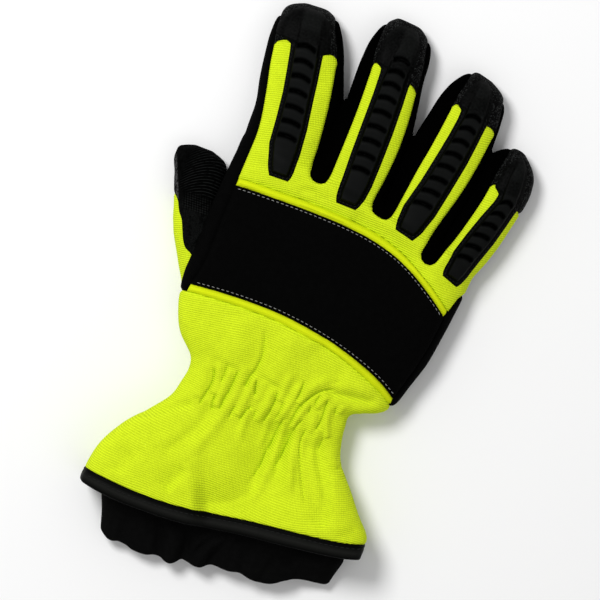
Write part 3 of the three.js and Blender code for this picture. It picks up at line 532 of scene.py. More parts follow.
hemLine = smoothLine([(-90, -113), (-66, -117), (-50, -118.6), (-35, -118.9), (-20, -118.1), (0, -115),
                      (20, -111.2), (40, -108.2), (60, -105), (72, -102), (90, -96)])
centreLines = {  # of each finger, to tell one gap's cloth from the next
    "index": [(-31, 30), (-32.7, 44), (-33.5, 64), (-33.7, 78), (-35.5, 90), (-38.7, 102),
              (-41.4, 112.7), (-43.3, 121.4), (-43.5, 132)],
    "middle": [(4.5, 30), (4.5, 62), (4.1, 91), (2.8, 104), (1.8, 116), (1.8, 142)],
    "ring": [(36, 25), (38.5, 39), (39.2, 57), (40.7, 72.5), (41.7, 87), (43, 100.5), (43.9, 111.5),
             (44.9, 120), (44, 132)],
    "little": [(61, 18), (64, 32.5), (67.5, 49), (70.8, 64), (72.9, 77), (73.4, 87.5), (73.6, 95),
               (73.3, 105)],
}


def raised(line, by):
    return np.array(line) + np.array([0, by])


def soleOutline(name, firstRow=0, lastRow=None):
    rows = [row for row in form["rows"][name][firstRow:lastRow] if row[8] < 0.3]  # those that lie flat
    edge = {-1: [], 1: []}
    for lx, ly, rx, ry, top, midL, midR, bow, low in rows:
        half = math.hypot(rx - lx, ry - ly) / 2
        for side in edge:
            s = side * (1 - form["corner"][name] / half)
            x = lx + (rx - lx) * (s + 1) / 2
            edge[side].append((x, ly + (ry - ly) * (s + 1) / 2 - bow * (1 - s * s)))
    return np.array(edge[1] + edge[-1][::-1])


backEdges = [smoothLine(line) for key, line in panel.items() if key != "backRight"]
weltEdge = [p for p in raised(topLine, weltWidth)[::-1] if bandLeft[0][0] < p[0] < bandRight[0][0]]
backOutline = np.vstack(backEdges + [np.array(panel["backRight"]), weltEdge])
wristRow = 9  # the hand's row where the palm and the gauntlet's underside meet
littleRoot = np.array([(50, 12), (60.5, 14), (66.5, 29), (70, 42), (62, 44), (58, 46), (50, 40)], float)
palmOutlines = [soleOutline("hand", 0, wristRow + 1), littleRoot]
palmOutlines += [soleOutline(name) for name in fingerNames]
cuffPalmOutline = soleOutline("hand", wristRow)

# Cutting the form into its panels


class Cutter:
    # a mesh in plain lists, cut where upright walls over lines in plan go through it
    cell = 2.0  # mm, the grid that finds the faces near a line
    reach = 1.6  # mm, how far past a stretch of the line it looks for them
    snap = 0.07  # mm, a corner nearer than this to the wall is moved onto it
    tiny = 1e-6  # mm, a corner nearer than this is on the wall
    askew = 0.35  # a face that looks away by more than this isn't cut

    def __init__(self, piece):
        self.points, self.normals = readPoints(piece).tolist(), readNormals(piece).tolist()
        self.faces, self.users, self.cells, self.facts = {}, {}, {}, {}
        for i, polygon in enumerate(piece.data.polygons):
            self.enter(i, list(polygon.vertices))
        self.next = len(self.faces)

    def edgesOf(self, face):
        return [(min(a, b), max(a, b)) for a, b in zip(face, face[1:] + face[:1])]

    def cellOf(self, centre):
        return (int(centre[0] // self.cell), int(centre[1] // self.cell))

    def enter(self, key, face):
        self.faces[key] = face
        for edge in self.edgesOf(face):
            self.users.setdefault(edge, set()).add(key)
        corners = [self.points[i] for i in face]
        n = len(corners)
        nx = ny = nz = 0.0
        for (x0, y0, z0), (x1, y1, z1) in zip(corners, corners[1:] + corners[:1]):
            nx += (y0 - y1) * (z0 + z1)
            ny += (z0 - z1) * (x0 + x1)
            nz += (x0 - x1) * (y0 + y1)
        size = math.sqrt(nx * nx + ny * ny + nz * nz) or 1.0
        centre = [sum(c[k] for c in corners) / n for k in range(3)]
        self.facts[key] = (centre, nz / size)
        self.cells.setdefault(self.cellOf(centre), set()).add(key)

    def leave(self, key):
        for edge in self.edgesOf(self.faces[key]):
            self.users[edge].discard(key)
        self.cells[self.cellOf(self.facts[key][0])].discard(key)
        del self.faces[key], self.facts[key]

    def split(self, key, away):
        # away gives each corner's distance from the cutting plane
        face = self.faces[key]
        for i, j, a, b in list(zip(face, face[1:] + face[:1], away, away[1:] + away[:1])):
            if a * b >= 0:
                continue
            t = a / (a - b)
            new = len(self.points)
            for each in (self.points, self.normals):
                each.append([p + (q - p) * t for p, q in zip(each[i], each[j])])
            edge = (min(i, j), max(i, j))
            for other in list(self.users.pop(edge)):
                polygon = self.faces[other]
                for k, (u, v) in enumerate(zip(polygon, polygon[1:] + polygon[:1])):
                    if (min(u, v), max(u, v)) == edge:
                        polygon.insert(k + 1, new)
                        break
                for end in (i, j):
                    self.users.setdefault((min(end, new), max(end, new)), set()).add(other)

    def cutFace(self, key, distanceOf):
        away = [distanceOf(self.points[i]) for i in self.faces[key]]
        if max(away) <= 0 or min(away) >= 0:
            return
        self.split(key, away)
        face = list(self.faces[key])
        off = [abs(distanceOf(self.points[i])) > self.tiny for i in face]
        on = [k for k, isOff in enumerate(off) if not isOff]
        for a in on:
            for b in on:
                if a < b and any(off[a:b]) and any(off[b:] + off[:a]):
                    self.leave(key)
                    for part in (face[a:b + 1], face[b:] + face[:a + 1]):
                        self.enter(self.next, part)
                        self.next += 1
                    return

    def cutWhere(self, key, distanceOf):
        # a corner that is on the wall but for a rounding error counts as on it
        away = [distanceOf(self.points[i]) for i in self.faces[key]]
        if max(away) > self.tiny and min(away) < -self.tiny:
            self.cutFace(key, lambda p: 0.0 if abs(distanceOf(p)) < self.tiny else distanceOf(p))

    def along(self, line, facing, lowest=-1.0, highest=99.0):
        # facing 1 cuts what looks up, -1 what looks down, 0 both
        for (ax, ay), (bx, by) in zip(line[:-1], line[1:]):
            length = math.hypot(bx - ax, by - ay)
            if length < 1e-6:
                continue
            ux, uy = (bx - ax) / length, (by - ay) / length
            firstI, firstJ = self.cellOf((min(ax, bx) - self.reach, min(ay, by) - self.reach))
            lastI, lastJ = self.cellOf((max(ax, bx) + self.reach, max(ay, by) + self.reach))
            keys = []
            for i in range(firstI, lastI + 1):
                for j in range(firstJ, lastJ + 1):
                    keys += self.cells.get((i, j), ())
            distanceOf = lambda p: (p[0] - ax) * uy - (p[1] - ay) * ux
            for key in sorted(keys):
                centre, up = self.facts[key]
                if not lowest < centre[2] < highest or (facing and up * facing < -self.askew):
                    continue
                corners = [self.points[i] for i in self.faces[key]]
                forward = [(p[0] - ax) * ux + (p[1] - ay) * uy for p in corners]
                if max(forward) < 0 or min(forward) > length:
                    continue
                for p, ahead in zip(corners, forward):
                    d = distanceOf(p)
                    if abs(d) < self.snap and -self.snap < ahead < length + self.snap:
                        p[0] -= d * uy
                        p[1] += d * ux
                self.cutWhere(key, distanceOf)

    def level(self, height, low, high):
        # a level cut, between two corners in plan
        for key in sorted(self.faces):
            (x, y, z), up = self.facts[key]
            if low[0] < x < high[0] and low[1] < y < high[1] and abs(z - height) < 3:
                for i in self.faces[key]:
                    if abs(self.points[i][2] - height) < self.snap:
                        self.points[i][2] = height
                self.cutWhere(key, lambda p: p[2] - height)

    def results(self):
        # points, their normals, faces, the faces' middles and how far each looks up
        keys = sorted(self.faces)
        normals = np.array(self.normals)
        normals /= np.linalg.norm(normals, axis=1)[:, None]
        return (np.array(self.points), normals, [self.faces[k] for k in keys],
                np.array([self.facts[k][0] for k in keys]), np.array([self.facts[k][1] for k in keys]))


def clipped(line, low, high):
    return np.array([p for p in line if low <= p[0] <= high])


sideLevel = 8.5  # mm, the bright cloth ends this high on the little finger's side
bandLevel = 6  # mm, the band and its piping end this high
soleLevel, soleTurn = 3, -0.2  # mm, the palm side is lower than this, and looks down by more than this
cutter = Cutter(body)
for line in backEdges + [panel["backRight"][1:]]:
    cutter.along(line, 1, sideLevel - 2)
for line in (topLine, raised(topLine, weltWidth), footLine, raised(footLine, -weltWidth)):
    cutter.along(line, 1, 2)
cutter.along(bandLeft, 1, bandLevel)
cutter.along(bandRight, 1, bandLevel)
for name, outline in tipOutlines.items():
    cutter.along(outline + outline[:1], 0)
cutter.along(hemLine, 0)
for outline in palmOutlines + [cuffPalmOutline]:
    cutter.along(np.vstack([outline, outline[:1]]), -1, -1, soleLevel)
cutter.level(sideLevel, (74, 26), (90, 76))
cutPoints, cutNormals, cutFaces, centres, facing = cutter.results()
print("cut into panels:", len(cutFaces), "faces")

x, y, z = centres.T


def heightOn(line, x):
    # y of a line that runs across the hand
    return np.interp(x, line[:, 0], line[:, 1])


def placeOn(line, y):
    # x of a line that runs up the hand
    return np.interp(y, line[:, 1], line[:, 0])


# each face belongs to the panel that its middle is in; later lines take faces from earlier ones
between = ["side_panel_thumb_edge", "gusset_index_middle", "gusset_middle_ring", "gusset_ring_little",
           "side_panel_little_edge"]
passed = sum((x > placeOn(np.array(centreLines[name]), y)).astype(int) for name in fingerNames)
region = np.array(between, dtype=object)[passed]
overFoot, overTop = heightOn(footLine, x), heightOn(topLine, x)
belowFingers = y < np.interp(x, [-60, -14, 22, 50, 62, 75], [48, 46, 42, 30, 26, 30])
region[belowFingers & (x < 5)] = "side_panel_thumb_edge"
region[belowFingers & (x >= 5)] = "side_panel_little_edge"
region[y < overFoot - weltWidth] = "gauntlet_back"
for name, outline in tipOutlines.items():
    region[insideOutline(np.array(outline), x, y)] = "fingertip_" + name
onTop = ((facing > 0) | (z > sideLevel)) & (z > bandLevel)
inBand = onTop & (x > placeOn(bandLeft[::-1], y)) & (x < placeOn(bandRight[::-1], y))
region[inBand & (y > overFoot - weltWidth) & (y <= overFoot)] = "band_welt_foot"
region[inBand & (y > overFoot) & (y <= overTop)] = "knuckle_band"
region[inBand & (y > overTop) & (y <= overTop + weltWidth)] = "band_welt_top"
region[(z > sideLevel) & insideOutline(backOutline, x, y)] = "hand_back"
underneath = (facing < soleTurn) & (z < soleLevel)
for outline in palmOutlines:
    region[underneath & insideOutline(outline, x, y)] = "palm_panel"
region[underneath & insideOutline(cuffPalmOutline, x, y)] = "gauntlet_palm"
region[y <= heightOn(hemLine, x)] = ""

surface = BVHTree.FromPolygons([tuple(p) for p in toFrame(cutPoints)], cutFaces)


def heightAt(px, py, fallback):
    hit = surface.ray_cast(Vector(toFrame((px, py, above))), Vector((0, 0, -1)))
    return hit[0].z * 1000 if hit[0] else fallback


# Each panel's finish comes last in its row. Before it are, in mm, how far its edge is drawn in, how
# far it swells between its seams, over how wide an edge, and its wall.
panelStyles = {
    "hand_back": (0.9, 0.25, 3.0, 1.6, "brightKnit"),
    "knuckle_band": (0.7, 1.1, 2.2, 2.6, "bandCloth"),
    "band_welt_top": (1.35, 0.55, 0.7, 1.6, "pipingKnit"),
    "band_welt_foot": (1.2, 0.55, 0.7, 1.6, "pipingKnit"),
    "gauntlet_back": (0.9, 0.2, 3.0, 1.6, "brightKnit"),
    "gauntlet_palm": (0.0, 0.0, 3.0, 1.6, "gripCloth"),
    "palm_panel": (0.0, 0.0, 3.0, 1.6, "gripCloth"),
    "side_panel_thumb_edge": (0.9, 0.4, 2.0, 1.6, "sideCloth"),
    "side_panel_little_edge": (0.9, 0.4, 2.0, 1.6, "sideCloth"),
    "gusset_index_middle": (0.5, 0.1, 2.5, 1.6, "stretchCloth"),
    "gusset_middle_ring": (0.5, 0.1, 2.5, 1.6, "stretchCloth"),
    "gusset_ring_little": (0.5, 0.1, 2.5, 1.6, "stretchCloth"),
    "fingertip_index": (0.4, 0.45, 2.0, 1.6, "gripCloth"),
    "fingertip_middle": (0.4, 0.45, 2.0, 1.6, "gripCloth"),
    "fingertip_ring": (0.4, 0.45, 2.0, 1.6, "gripCloth"),
    "fingertip_little": (0.4, 0.45, 2.0, 1.6, "gripCloth"),
}
seam = {
    "groove": 0.8,  # mm, how far from the seam the dip is felt
    "far": 8.0,  # mm, past this the swell no longer changes
    "shoulder": 1.5,  # more makes the swell rise later and faster
}
pieces = {}
finishOf = {}


def keepPiece(piece, finish):
    pieces[piece.name] = piece
    finishOf[piece.name] = finish


def panelPiece(name, points, normals, faces, style):
    # it moves along the whole form's normals, so neighbours stay together at their seam
    draw, swell, over, wall, finish = style
    used = sorted({i for f in faces for i in f})
    place = {old: new for new, old in enumerate(used)}
    faces = [[place[i] for i in f] for f in faces]
    points, normals = points[used], normals[used]
    edges = {(a, b) for f in faces for a, b in zip(f, f[1:] + f[:1])}
    rim = sorted((a, b) for a, b in edges if (b, a) not in edges)
    tree = KDTree(len(rim))
    for i, (a, b) in enumerate(rim):
        tree.insert(points[a], i)
    tree.balance()
    distance = np.array([min(seam["far"], tree.find(p)[2]) for p in points])
    risen = swell * (1 - np.exp(-(distance / over) ** seam["shoulder"]))
    shape = risen - draw * np.exp(-(distance / seam["groove"]) ** 2)
    outer = points + normals * shape[:, None]
    both = np.vstack([outer, outer - normals * wall])
    both[:, 2] = np.maximum(both[:, 2], lowest)
    count = len(outer)
    inside = [[i + count for i in reversed(f)] for f in faces]
    edge = [[b, a, a + count, b + count] for a, b in rim]
    piece = newPiece(name + "_cloth", both, faces + inside + edge)
    tidyMesh(piece, 50, False)
    keepPiece(piece, finish)


facesOf = {}
for face, name in zip(cutFaces, region):
    if name:
        facesOf.setdefault(name, []).append(face)
for name, style in panelStyles.items():
    panelPiece(name, cutPoints, cutNormals, facesOf[name], style)
    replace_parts(pieces[name + "_cloth"], name)
bpy.data.objects.remove(body)
print("panels made:", {n: len(p.data.polygons) for n, p in pieces.items()})

# The thumb

thumb = {
    "bright": [(-78, 24), (-71.4, 18.6), (-69.4, 15.5), (-68, 13), (-65.4, 10), (-63, 5), (-61, 1),
               (-58.6, -2), (-54.2, -4.5), (-52, -12), (-50, -26)],
    "middle": 62,  # mm from the arches' middle to the pattern's own, which is to its right
    "bends": (27, 60),  # mm, how widely the ridges bend to the left and to the right of that middle
    "turnUp": (0.3, 4),  # slope of their right ends lower down, and how far out it starts
    "turnBelow": (35, 8),  # y where it starts, and over how many mm it grows
    "ridgePitch": 1.55,
    "ridgeHeight": 0.16,
    "voxel": 0.42,
    "evening": 12,
    "unevenness": (7, 0.25),  # size and height, mm
    "fromFloor": (0.4, 3),
    "tucked": 0.0012,  # m, what is deeper than this inside the hand is left out
    "folds": [
        ([(-57, 15.5), (-54, 14), (-51, 17)], 1.6, -1.2, 2, 3),
        ([(-66, 12), (-61, 13), (-56, 12)], 1.2, 0.5, 3, 3),
        ([(-53.4, 11), (-54.6, 6), (-55.4, 2)], 0.9, 0.9, 1.5, 1.5),
        ([(-52.6, 9), (-54.2, 3), (-55.6, -1)], 0.8, -0.7, 1.5, 1.5),
        ([(-62, 12), (-61.4, 7), (-59, 3)], 1.0, 0.6, 2, 2),
        ([(-69, 23), (-63.5, 19), (-60, 15)], 1.2, -0.5, 3, 3),
        ([(-66, 18), (-62, 22), (-59.6, 25)], 0.6, 0.5, 1, 1),
        ([(-64.6, 18.4), (-60.6, 22.6), (-58.4, 25)], 0.5, -0.4, 1, 1),
        ([(-63, 19), (-59, 23)], 0.6, 0.5, 1, 1),
        ([(-60.5, 19), (-56.5, 23.6)], 0.6, 0.5, 1, 1),
        ([(-59, 18.6), (-55.4, 22.4)], 0.5, -0.4, 1, 1),
    ],
}
rest = makeForm("thumb")
addModifier(rest, "REMESH", mode="VOXEL", voxel_size=thumb["voxel"] * 0.001, use_smooth_shade=True)
addModifier(rest, "SMOOTH", factor=0.5, iterations=thumb["evening"])
points, normals = readPoints(rest), readNormals(rest)
x, y = points[:, 0], points[:, 1]
upward = smoothStep(0.0, 0.5, normals[:, 2])
# ridges that arch over the ball of the thumb, and turn up to the right lower down, as in its material
aside = x + thumb["middle"]
leftBend, rightBend = thumb["bends"]
slope, slopeFrom = thumb["turnUp"]
turnTop, turnOver = thumb["turnBelow"]
turn = slope * np.maximum(aside - slopeFrom, 0) * np.clip((turnTop - y) / turnOver, 0, 1)
arch = y + np.minimum(aside, 0) ** 2 / leftBend + np.maximum(aside, 0) ** 2 / rightBend - turn
ribs = np.sin(2 * np.pi * arch / thumb["ridgePitch"])
where = smoothStep(22.5, 26.5, y) * smoothStep(45.5, 43.5, y)
where = where * smoothStep(-74.5, -70.5, x) * smoothStep(-52.4, -54, x)
rise = thumb["ridgeHeight"] * ribs * where * upward
for line, half, height, head, tail in thumb["folds"]:
    rise += upward * foldHeight(x, y, line, half, height, head, tail)
size, height = thumb["unevenness"]
rise += height * noiseAt(points, size, 2.0)
points += normals * (rise * smoothStep(*thumb["fromFloor"], points[:, 2]))[:, None]
points[:, 2] = np.maximum(points[:, 2], lowest)
writePoints(rest, points)
brightLine = smoothLine(thumb["bright"], 1.0)
thumbSole = soleOutline("thumb", 1)
cutter = Cutter(rest)
cutter.along(brightLine, 0, 1.0)
cutter.along(np.vstack([thumbSole, thumbSole[:1]]), -1, -1, soleLevel)
thumbPoints, thumbNormals, allFaces, middles, up = cutter.results()
brightArea = np.array(brightLine.tolist() + [(-90, -26), (-90, 24)])
inBright = insideOutline(brightArea, middles[:, 0], middles[:, 1])
inSole = insideOutline(thumbSole, middles[:, 0], middles[:, 1]) & (up < soleTurn)
inSole &= middles[:, 2] < soleLevel
thumbStyles = {
    "thumb_side": (0.4, 0.15, 2.0, 1.5, "brightKnit"),
    "thumb_back": (0.4, 0.15, 2.0, 1.5, "thumbCloth"),
    "thumb_palm": (0, 0.15, 2.0, 1.5, "gripCloth"),
}
thumbFaces = {name: [] for name in thumbStyles}
for face, middle, bright, sole in zip(allFaces, toFrame(middles), inBright, inSole):
    nearest = surface.find_nearest(Vector(middle))
    if nearest[0] and (Vector(middle) - nearest[0]).dot(nearest[1]) < -thumb["tucked"]:
        continue  # inside the hand
    thumbFaces["thumb_palm" if sole else "thumb_side" if bright else "thumb_back"].append(face)
bpy.data.objects.remove(rest)
for name, style in thumbStyles.items():
    panelPiece(name, thumbPoints, thumbNormals, thumbFaces[name], style)
    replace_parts(pieces[name + "_cloth"], name)
print("thumb made")

# Moulded finger guards

guard = {
    # Rows of y, left edge and right edge, of the shaft, the cap and the cap's tongue, then y of the
    # grooves, and how far the foot's left and right end are moved up
    "edges": {
        "index": {
            "shaft": [(45.4, -34.3, -24.6), (47.4, -35.6, -23.8), (50.5, -37.1, -23.5),
                      (60, -40.2, -23.9), (72, -41.5, -25.2), (85, -43.3, -27.5), (95, -45.4, -29.1),
                      (104, -47.4, -30.8), (108, -48.4, -31.6)],
            "cap": [(110, -57.0, -28.6), (114, -57.6, -29.4), (119, -57.2, -31.2),
                    (123.5, -54.8, -33.8), (126.6, -51.4, -37.0), (128.0, -47, -41)],
            "tongue": [(108, -45.3, -34.4), (112, -46.0, -35.2), (119, -47.6, -36.6),
                       (127, -48.4, -38.6)],
            "grooves": [66.5, 73.5, 80.6, 88, 95.2, 102.2, 109.4],
            "foot": (-0.25, 0.25),
        },
        "middle": {
            "shaft": [(45.1, 0.2, 10.4), (47.4, -0.8, 11.7), (50.5, -1.3, 12.7), (58, -1.5, 13.6),
                      (70, -2.1, 13.7), (85, -2.5, 13.5), (100, -2.9, 12.8), (110, -3.5, 12.0),
                      (113, -3.9, 11.8)],
            "cap": [(115, -7.8, 11.6), (119, -8.4, 11.9), (126, -8.3, 11.4), (131, -7.2, 10.0),
                    (135, -4.8, 7.6), (137, -1.6, 4.2)],
            "tongue": [(110, -0.6, 9.3), (115, -0.3, 9.3), (122, -0.2, 9.1), (130, 0.2, 8.6),
                       (136, 0.8, 7.6)],
            "grooves": [65.2, 72.3, 79.5, 86.6, 94, 101, 107.8, 114.3, 120.6],
            "foot": (0, 0),
        },
        "ring": {
            "shaft": [(42.7, 31.2, 41.1), (45, 30.6, 42.7), (48, 30.4, 44.3), (56, 30.6, 46.8),
                      (70, 33.8, 49.3), (85, 36.4, 51.7), (95, 38.0, 52.7), (104, 39.1, 53.4),
                      (108.6, 39.2, 53.4)],
            "cap": [(110.6, 36.6, 54.0), (114, 36.8, 53.6), (119, 37.8, 52.4), (122.8, 39.4, 50.4),
                    (125.4, 41.2, 48.2), (126.6, 43.4, 46)],
            "tongue": [(106, 42.0, 51.0), (111, 42.0, 50.6), (117, 42.2, 50.0), (125, 42.8, 48.4)],
            "grooves": [61, 67.8, 74.6, 81.5, 88.2, 95, 101.8, 108.2],
            "foot": (1.1, -1.1),
        },
        "little": {
            "shaft": [(30.5, 60.3, 69.0), (32.6, 59.9, 70.6), (36, 60.0, 72.3), (45, 61.1, 74.9),
                      (55, 63.8, 78.0), (65, 66.9, 80.4), (74, 70.1, 82.2), (78.2, 70.9, 82.6)],
            "cap": [(80.4, 68.0, 83.0), (84, 67.8, 83.0), (89, 68.2, 82.2), (93.6, 69.8, 80.4),
                    (97.0, 71.8, 78.2), (98.4, 74, 76)],
            "tongue": [(76, 73.3, 80.2), (82, 73.0, 80.2), (88, 73.0, 79.6), (96, 73.6, 78.2)],
            "grooves": [45, 51.2, 57.4, 63.5, 69.8, 76.2],
            "foot": (1.4, -1.4),
        },
    },
    "flange": 1.2,  # heights over the cloth, mm
    "spine": 3.4,
    "cap": 1.9,
    "tongue": 0.7,  # over the cap
    "crown": 0.35,
    "depth": 2.6,  # of the grooves
    "half": 1.02,  # half a groove's width
    "fall": 0.28,  # of each rung towards the next groove
    "spineInset": 2.5,  # from the shaft's edges to the spine
    "step": 0.40,
    "columns": 46,
    "sunk": 0.5,  # how far its underside is in the cloth
    "footReach": 9.0,  # mm, how far up the shaft its foot's slant reaches
    "spineTone": 0.52,  # how light the rubber looks in each part; the flange and cap values are painted shade, the pad's is a painted highlight
    "flangeShadeTone": 0.18,
    "capShadeTone": 0.18,
    "padHighlightTone": 0.46,
    "crumbs": 0.30,
}


def footSlant(spec, side, y):
    # how far the foot of a guard is moved up at its left side, -1, or its right side, 1
    first = spec["shaft"][0][0]
    return np.interp(side, [-1, 1], spec["foot"]) * (1 - smoothStep(first, first + guard["footReach"], y))


def guardPiece(name):
    spec = guard["edges"][name]
    rows = np.array(spec["shaft"] + spec["cap"], float)
    capY = (spec["shaft"][-1][0] + spec["cap"][0][0]) / 2
    first, last = rows[0, 0], rows[-1, 0]
    ys = np.linspace(first, last, int((last - first) / guard["step"]) + 1)
    left = np.interp(ys, rows[:, 0], rows[:, 1])
    right = np.interp(ys, rows[:, 0], rows[:, 2])
    # round the drawn outline a little, but keep the cap's shoulder
    for _ in range(2):
        left[1:-1] = (left[:-2] + 2 * left[1:-1] + left[2:]) / 4
        right[1:-1] = (right[:-2] + 2 * right[1:-1] + right[2:]) / 4
    columns = guard["columns"]
    a = np.linspace(-1, 1, columns + 1)
    s = np.sign(a) * np.abs(a) ** 0.9
    x = (left + right)[:, None] / 2 + (right - left)[:, None] / 2 * s[None, :]
    y = np.repeat(ys[:, None], columns + 1, axis=1)
    placeY = y + footSlant(spec, s[None, :], y)
    base = np.array([[heightAt(px, py, 3.0) for px, py in zip(rx, ry)] for rx, ry in zip(x, placeY)])
    for _ in range(6):  # the guard bridges the small unevenness of the cloth
        base[1:-1, :] = (base[:-2, :] + 2 * base[1:-1, :] + base[2:, :]) / 4
    half = (right - left)[:, None] / 2
    inset = (1 - np.abs(s))[None, :] * half  # mm in from the long edges
    rim = np.minimum(inset, np.minimum(y - first, last - y) + 0.2)
    capPart = smoothStep(capY - 0.6, capY + 1.0, y)
    # the raised spine runs on over the cap as a low tongue
    tongue = np.array(spec["tongue"], float)
    share = smoothStep(tongue[0, 0] - 3, tongue[0, 0], ys)
    spineLeft = (left + guard["spineInset"]) * (1 - share) + np.interp(ys, *tongue[:, :2].T) * share
    spineRight = (right - guard["spineInset"]) * (1 - share) + np.interp(ys, *tongue[:, ::2].T) * share
    spineHalf = ((spineRight - spineLeft) / 2)[:, None]
    across = (x - ((spineLeft + spineRight) / 2)[:, None]) / spineHalf
    inSpine = np.minimum((1 - np.abs(across)) * spineHalf, y - first - 2.2)
    spineIn = smoothStep(-0.45, 0.5, inSpine)
    flange = guard["flange"] * (1 - np.exp(-(rim / 0.55) ** 1.3))
    flange = flange - 0.35 * np.exp(-((rim - 1.2) / 0.28) ** 2)
    dome = guard["cap"] * (1 - np.exp(-(rim / 1.9) ** 1.3))
    plate = flange * (1 - capPart) + dome * capPart
    toTip = smoothStep(tongue[-1, 0] + 1.0, tongue[-1, 0] - 5, y)
    lift = (guard["spine"] - guard["flange"]) * (1 - smoothStep(capY - 4, capY + 9, y))
    lift = lift + guard["tongue"] * smoothStep(capY - 4, capY + 9, y) * toTip
    crown = guard["crown"] * (1 - across ** 2)
    lowerEnd = 1 - smoothStep(spec["grooves"][0] - 4.5, spec["grooves"][0] - 2.6, y)
    cut, inMouth = np.zeros_like(y), np.zeros_like(y)
    for gy in spec["grooves"]:
        nearTip = smoothStep(spec["grooves"][2], spec["grooves"][-1], gy)
        bend = (1.0 + 1.1 * nearTip) * (1 - np.abs(across) ** 1.8)
        gap = y - gy - bend + 1.8 + 0.5 * nearTip
        mouth = np.exp(-(gap / guard["half"]) ** 2)
        width = 1 - smoothStep(0.70, 0.96, np.abs(across + 0.05))
        cut = np.maximum(cut, guard["depth"] * mouth * width)
        inMouth = np.maximum(inMouth, mouth * width)
        cut = cut + guard["fall"] * np.exp(-((gap - 2.2) / 1.4) ** 2) * width * (1 - mouth)
    depthLimit = np.maximum(0.3, lift + plate - 0.5)
    height = plate + (lift + crown + 0.2 * lowerEnd) * spineIn - np.minimum(cut, depthLimit) * spineIn
    # how light the rubber looks, with painted light: the spine is lightest, painted shade darkens the
    # flange beside it and the cap, and a painted highlight lightens the tongue and the pad over the cap
    spineTone = guard["spineTone"] * (1 - capPart) + guard["capShadeTone"] * capPart + 0.08 * capPart * toTip
    besideShadeTone = guard["flangeShadeTone"] * (1 - capPart) + guard["capShadeTone"] * capPart
    tone = besideShadeTone + (spineTone - besideShadeTone) * smoothStep(0.1, 0.7, inSpine)
    padHighlight = (guard["padHighlightTone"] - guard["capShadeTone"]) * smoothStep(0.3, 1.2, inSpine)
    tone = tone + padHighlight * smoothStep(capY + 6, capY + 10, y) * smoothStep(last - 1.5, last - 4, y)
    # painted shade along the spine's edges and in the grooves
    edgeShade = 0.7 * np.exp(-((inSpine + 0.2) / 0.45) ** 2) * (1 - 0.85 * capPart)
    tone = tone * (1 - edgeShade) * (1 - np.minimum(1, 1.3 * inMouth))
    top = np.stack([x, placeY, base + np.maximum(0.02, height)], axis=2)
    under = np.stack([x, placeY, base - guard["sunk"]], axis=2)
    rowCount, width = y.shape
    crumbs = noiseAt(np.column_stack([x.ravel(), y.ravel(), np.zeros(x.size)]), 0.9, 3.0).reshape(y.shape)
    tone = tone + guard["crumbs"] * crumbs * capPart
    points = np.vstack([top.reshape(-1, 3), under.reshape(-1, 3)])
    total = rowCount * width
    faces = []
    for r in range(rowCount - 1):
        for i in range(r * width, (r + 1) * width - 1):
            faces.append((i, i + 1, i + 1 + width, i + width))
            faces.append((total + i, total + i + width, total + i + 1 + width, total + i + 1))
    # the wall between them, once round the edge
    around = list(range(width)) + [r * width + width - 1 for r in range(1, rowCount)]
    around += [(rowCount - 1) * width + c for c in range(width - 2, -1, -1)]
    around += [r * width for r in range(rowCount - 2, 0, -1)]
    for i, j in zip(around, around[1:] + around[:1]):
        faces.append((i, total + i, total + j, j))
    piece = newPiece("guard_" + name + "_rubber", points, faces)
    giveValues(piece, "tone", np.concatenate([tone.ravel(), np.zeros(total)]))
    tidyMesh(piece, 45)
    return piece


for name in fingerNames:
    piece = guardPiece(name)
    keepPiece(piece, "mouldedRubber")
    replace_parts(piece, "guard_" + name)
print("guards made")

# The folded tape round the gauntlet's mouth

tape = {
    "row": (-63.9, -116.9, 74.7, -101.2, 34.0, 13, 13, 6.5, 0),
    "count": 300,
    "width": 7.4,
    "narrow": 0.96,
    "higher": ([-60, -30, -5, 30], [1.0, 0.9, 0.3, 0.1]),  # mm over the cloth's edge, along x
    "pucker": (5, 0.22),  # size and height, mm
    "wave": (22, 0.05),  # size, mm, and share of the width
    # its section: how far down from the cloth's edge, and how high over the cloth
    "profile": [(-0.6, -0.9), (-0.3, 0.35), (0.4, 0.8), (1.1, 0.86), (1.6, 0.66), (2.1, 0.9),
                (3.4, 1.0), (5.2, 0.95), (6.5, 0.7), (7.2, 0.1), (7.4, -0.9), (7.1, -1.9), (6.3, -2.5),
                (4, -2.7), (1.2, -2.6), (-0.6, -2.2)],
}


def hemRing(count):
    ring = sectionRing(np.array(tape["row"], float), form["corner"]["hand"], form["handCrown"][1][0], count)
    ring[:, 1] = heightOn(hemLine, ring[:, 0]) + np.interp(ring[:, 0], *tape["higher"])
    # along the top it follows the folds of the cloth
    share = smoothStep(17, 25, ring[:, 2])
    under = np.array([heightAt(px, py, pz) for px, py, pz in ring])
    for _ in range(4):
        under = (np.roll(under, 1) + 2 * under + np.roll(under, -1)) / 4
    ring[:, 2] += (under - ring[:, 2]) * share
    return ring


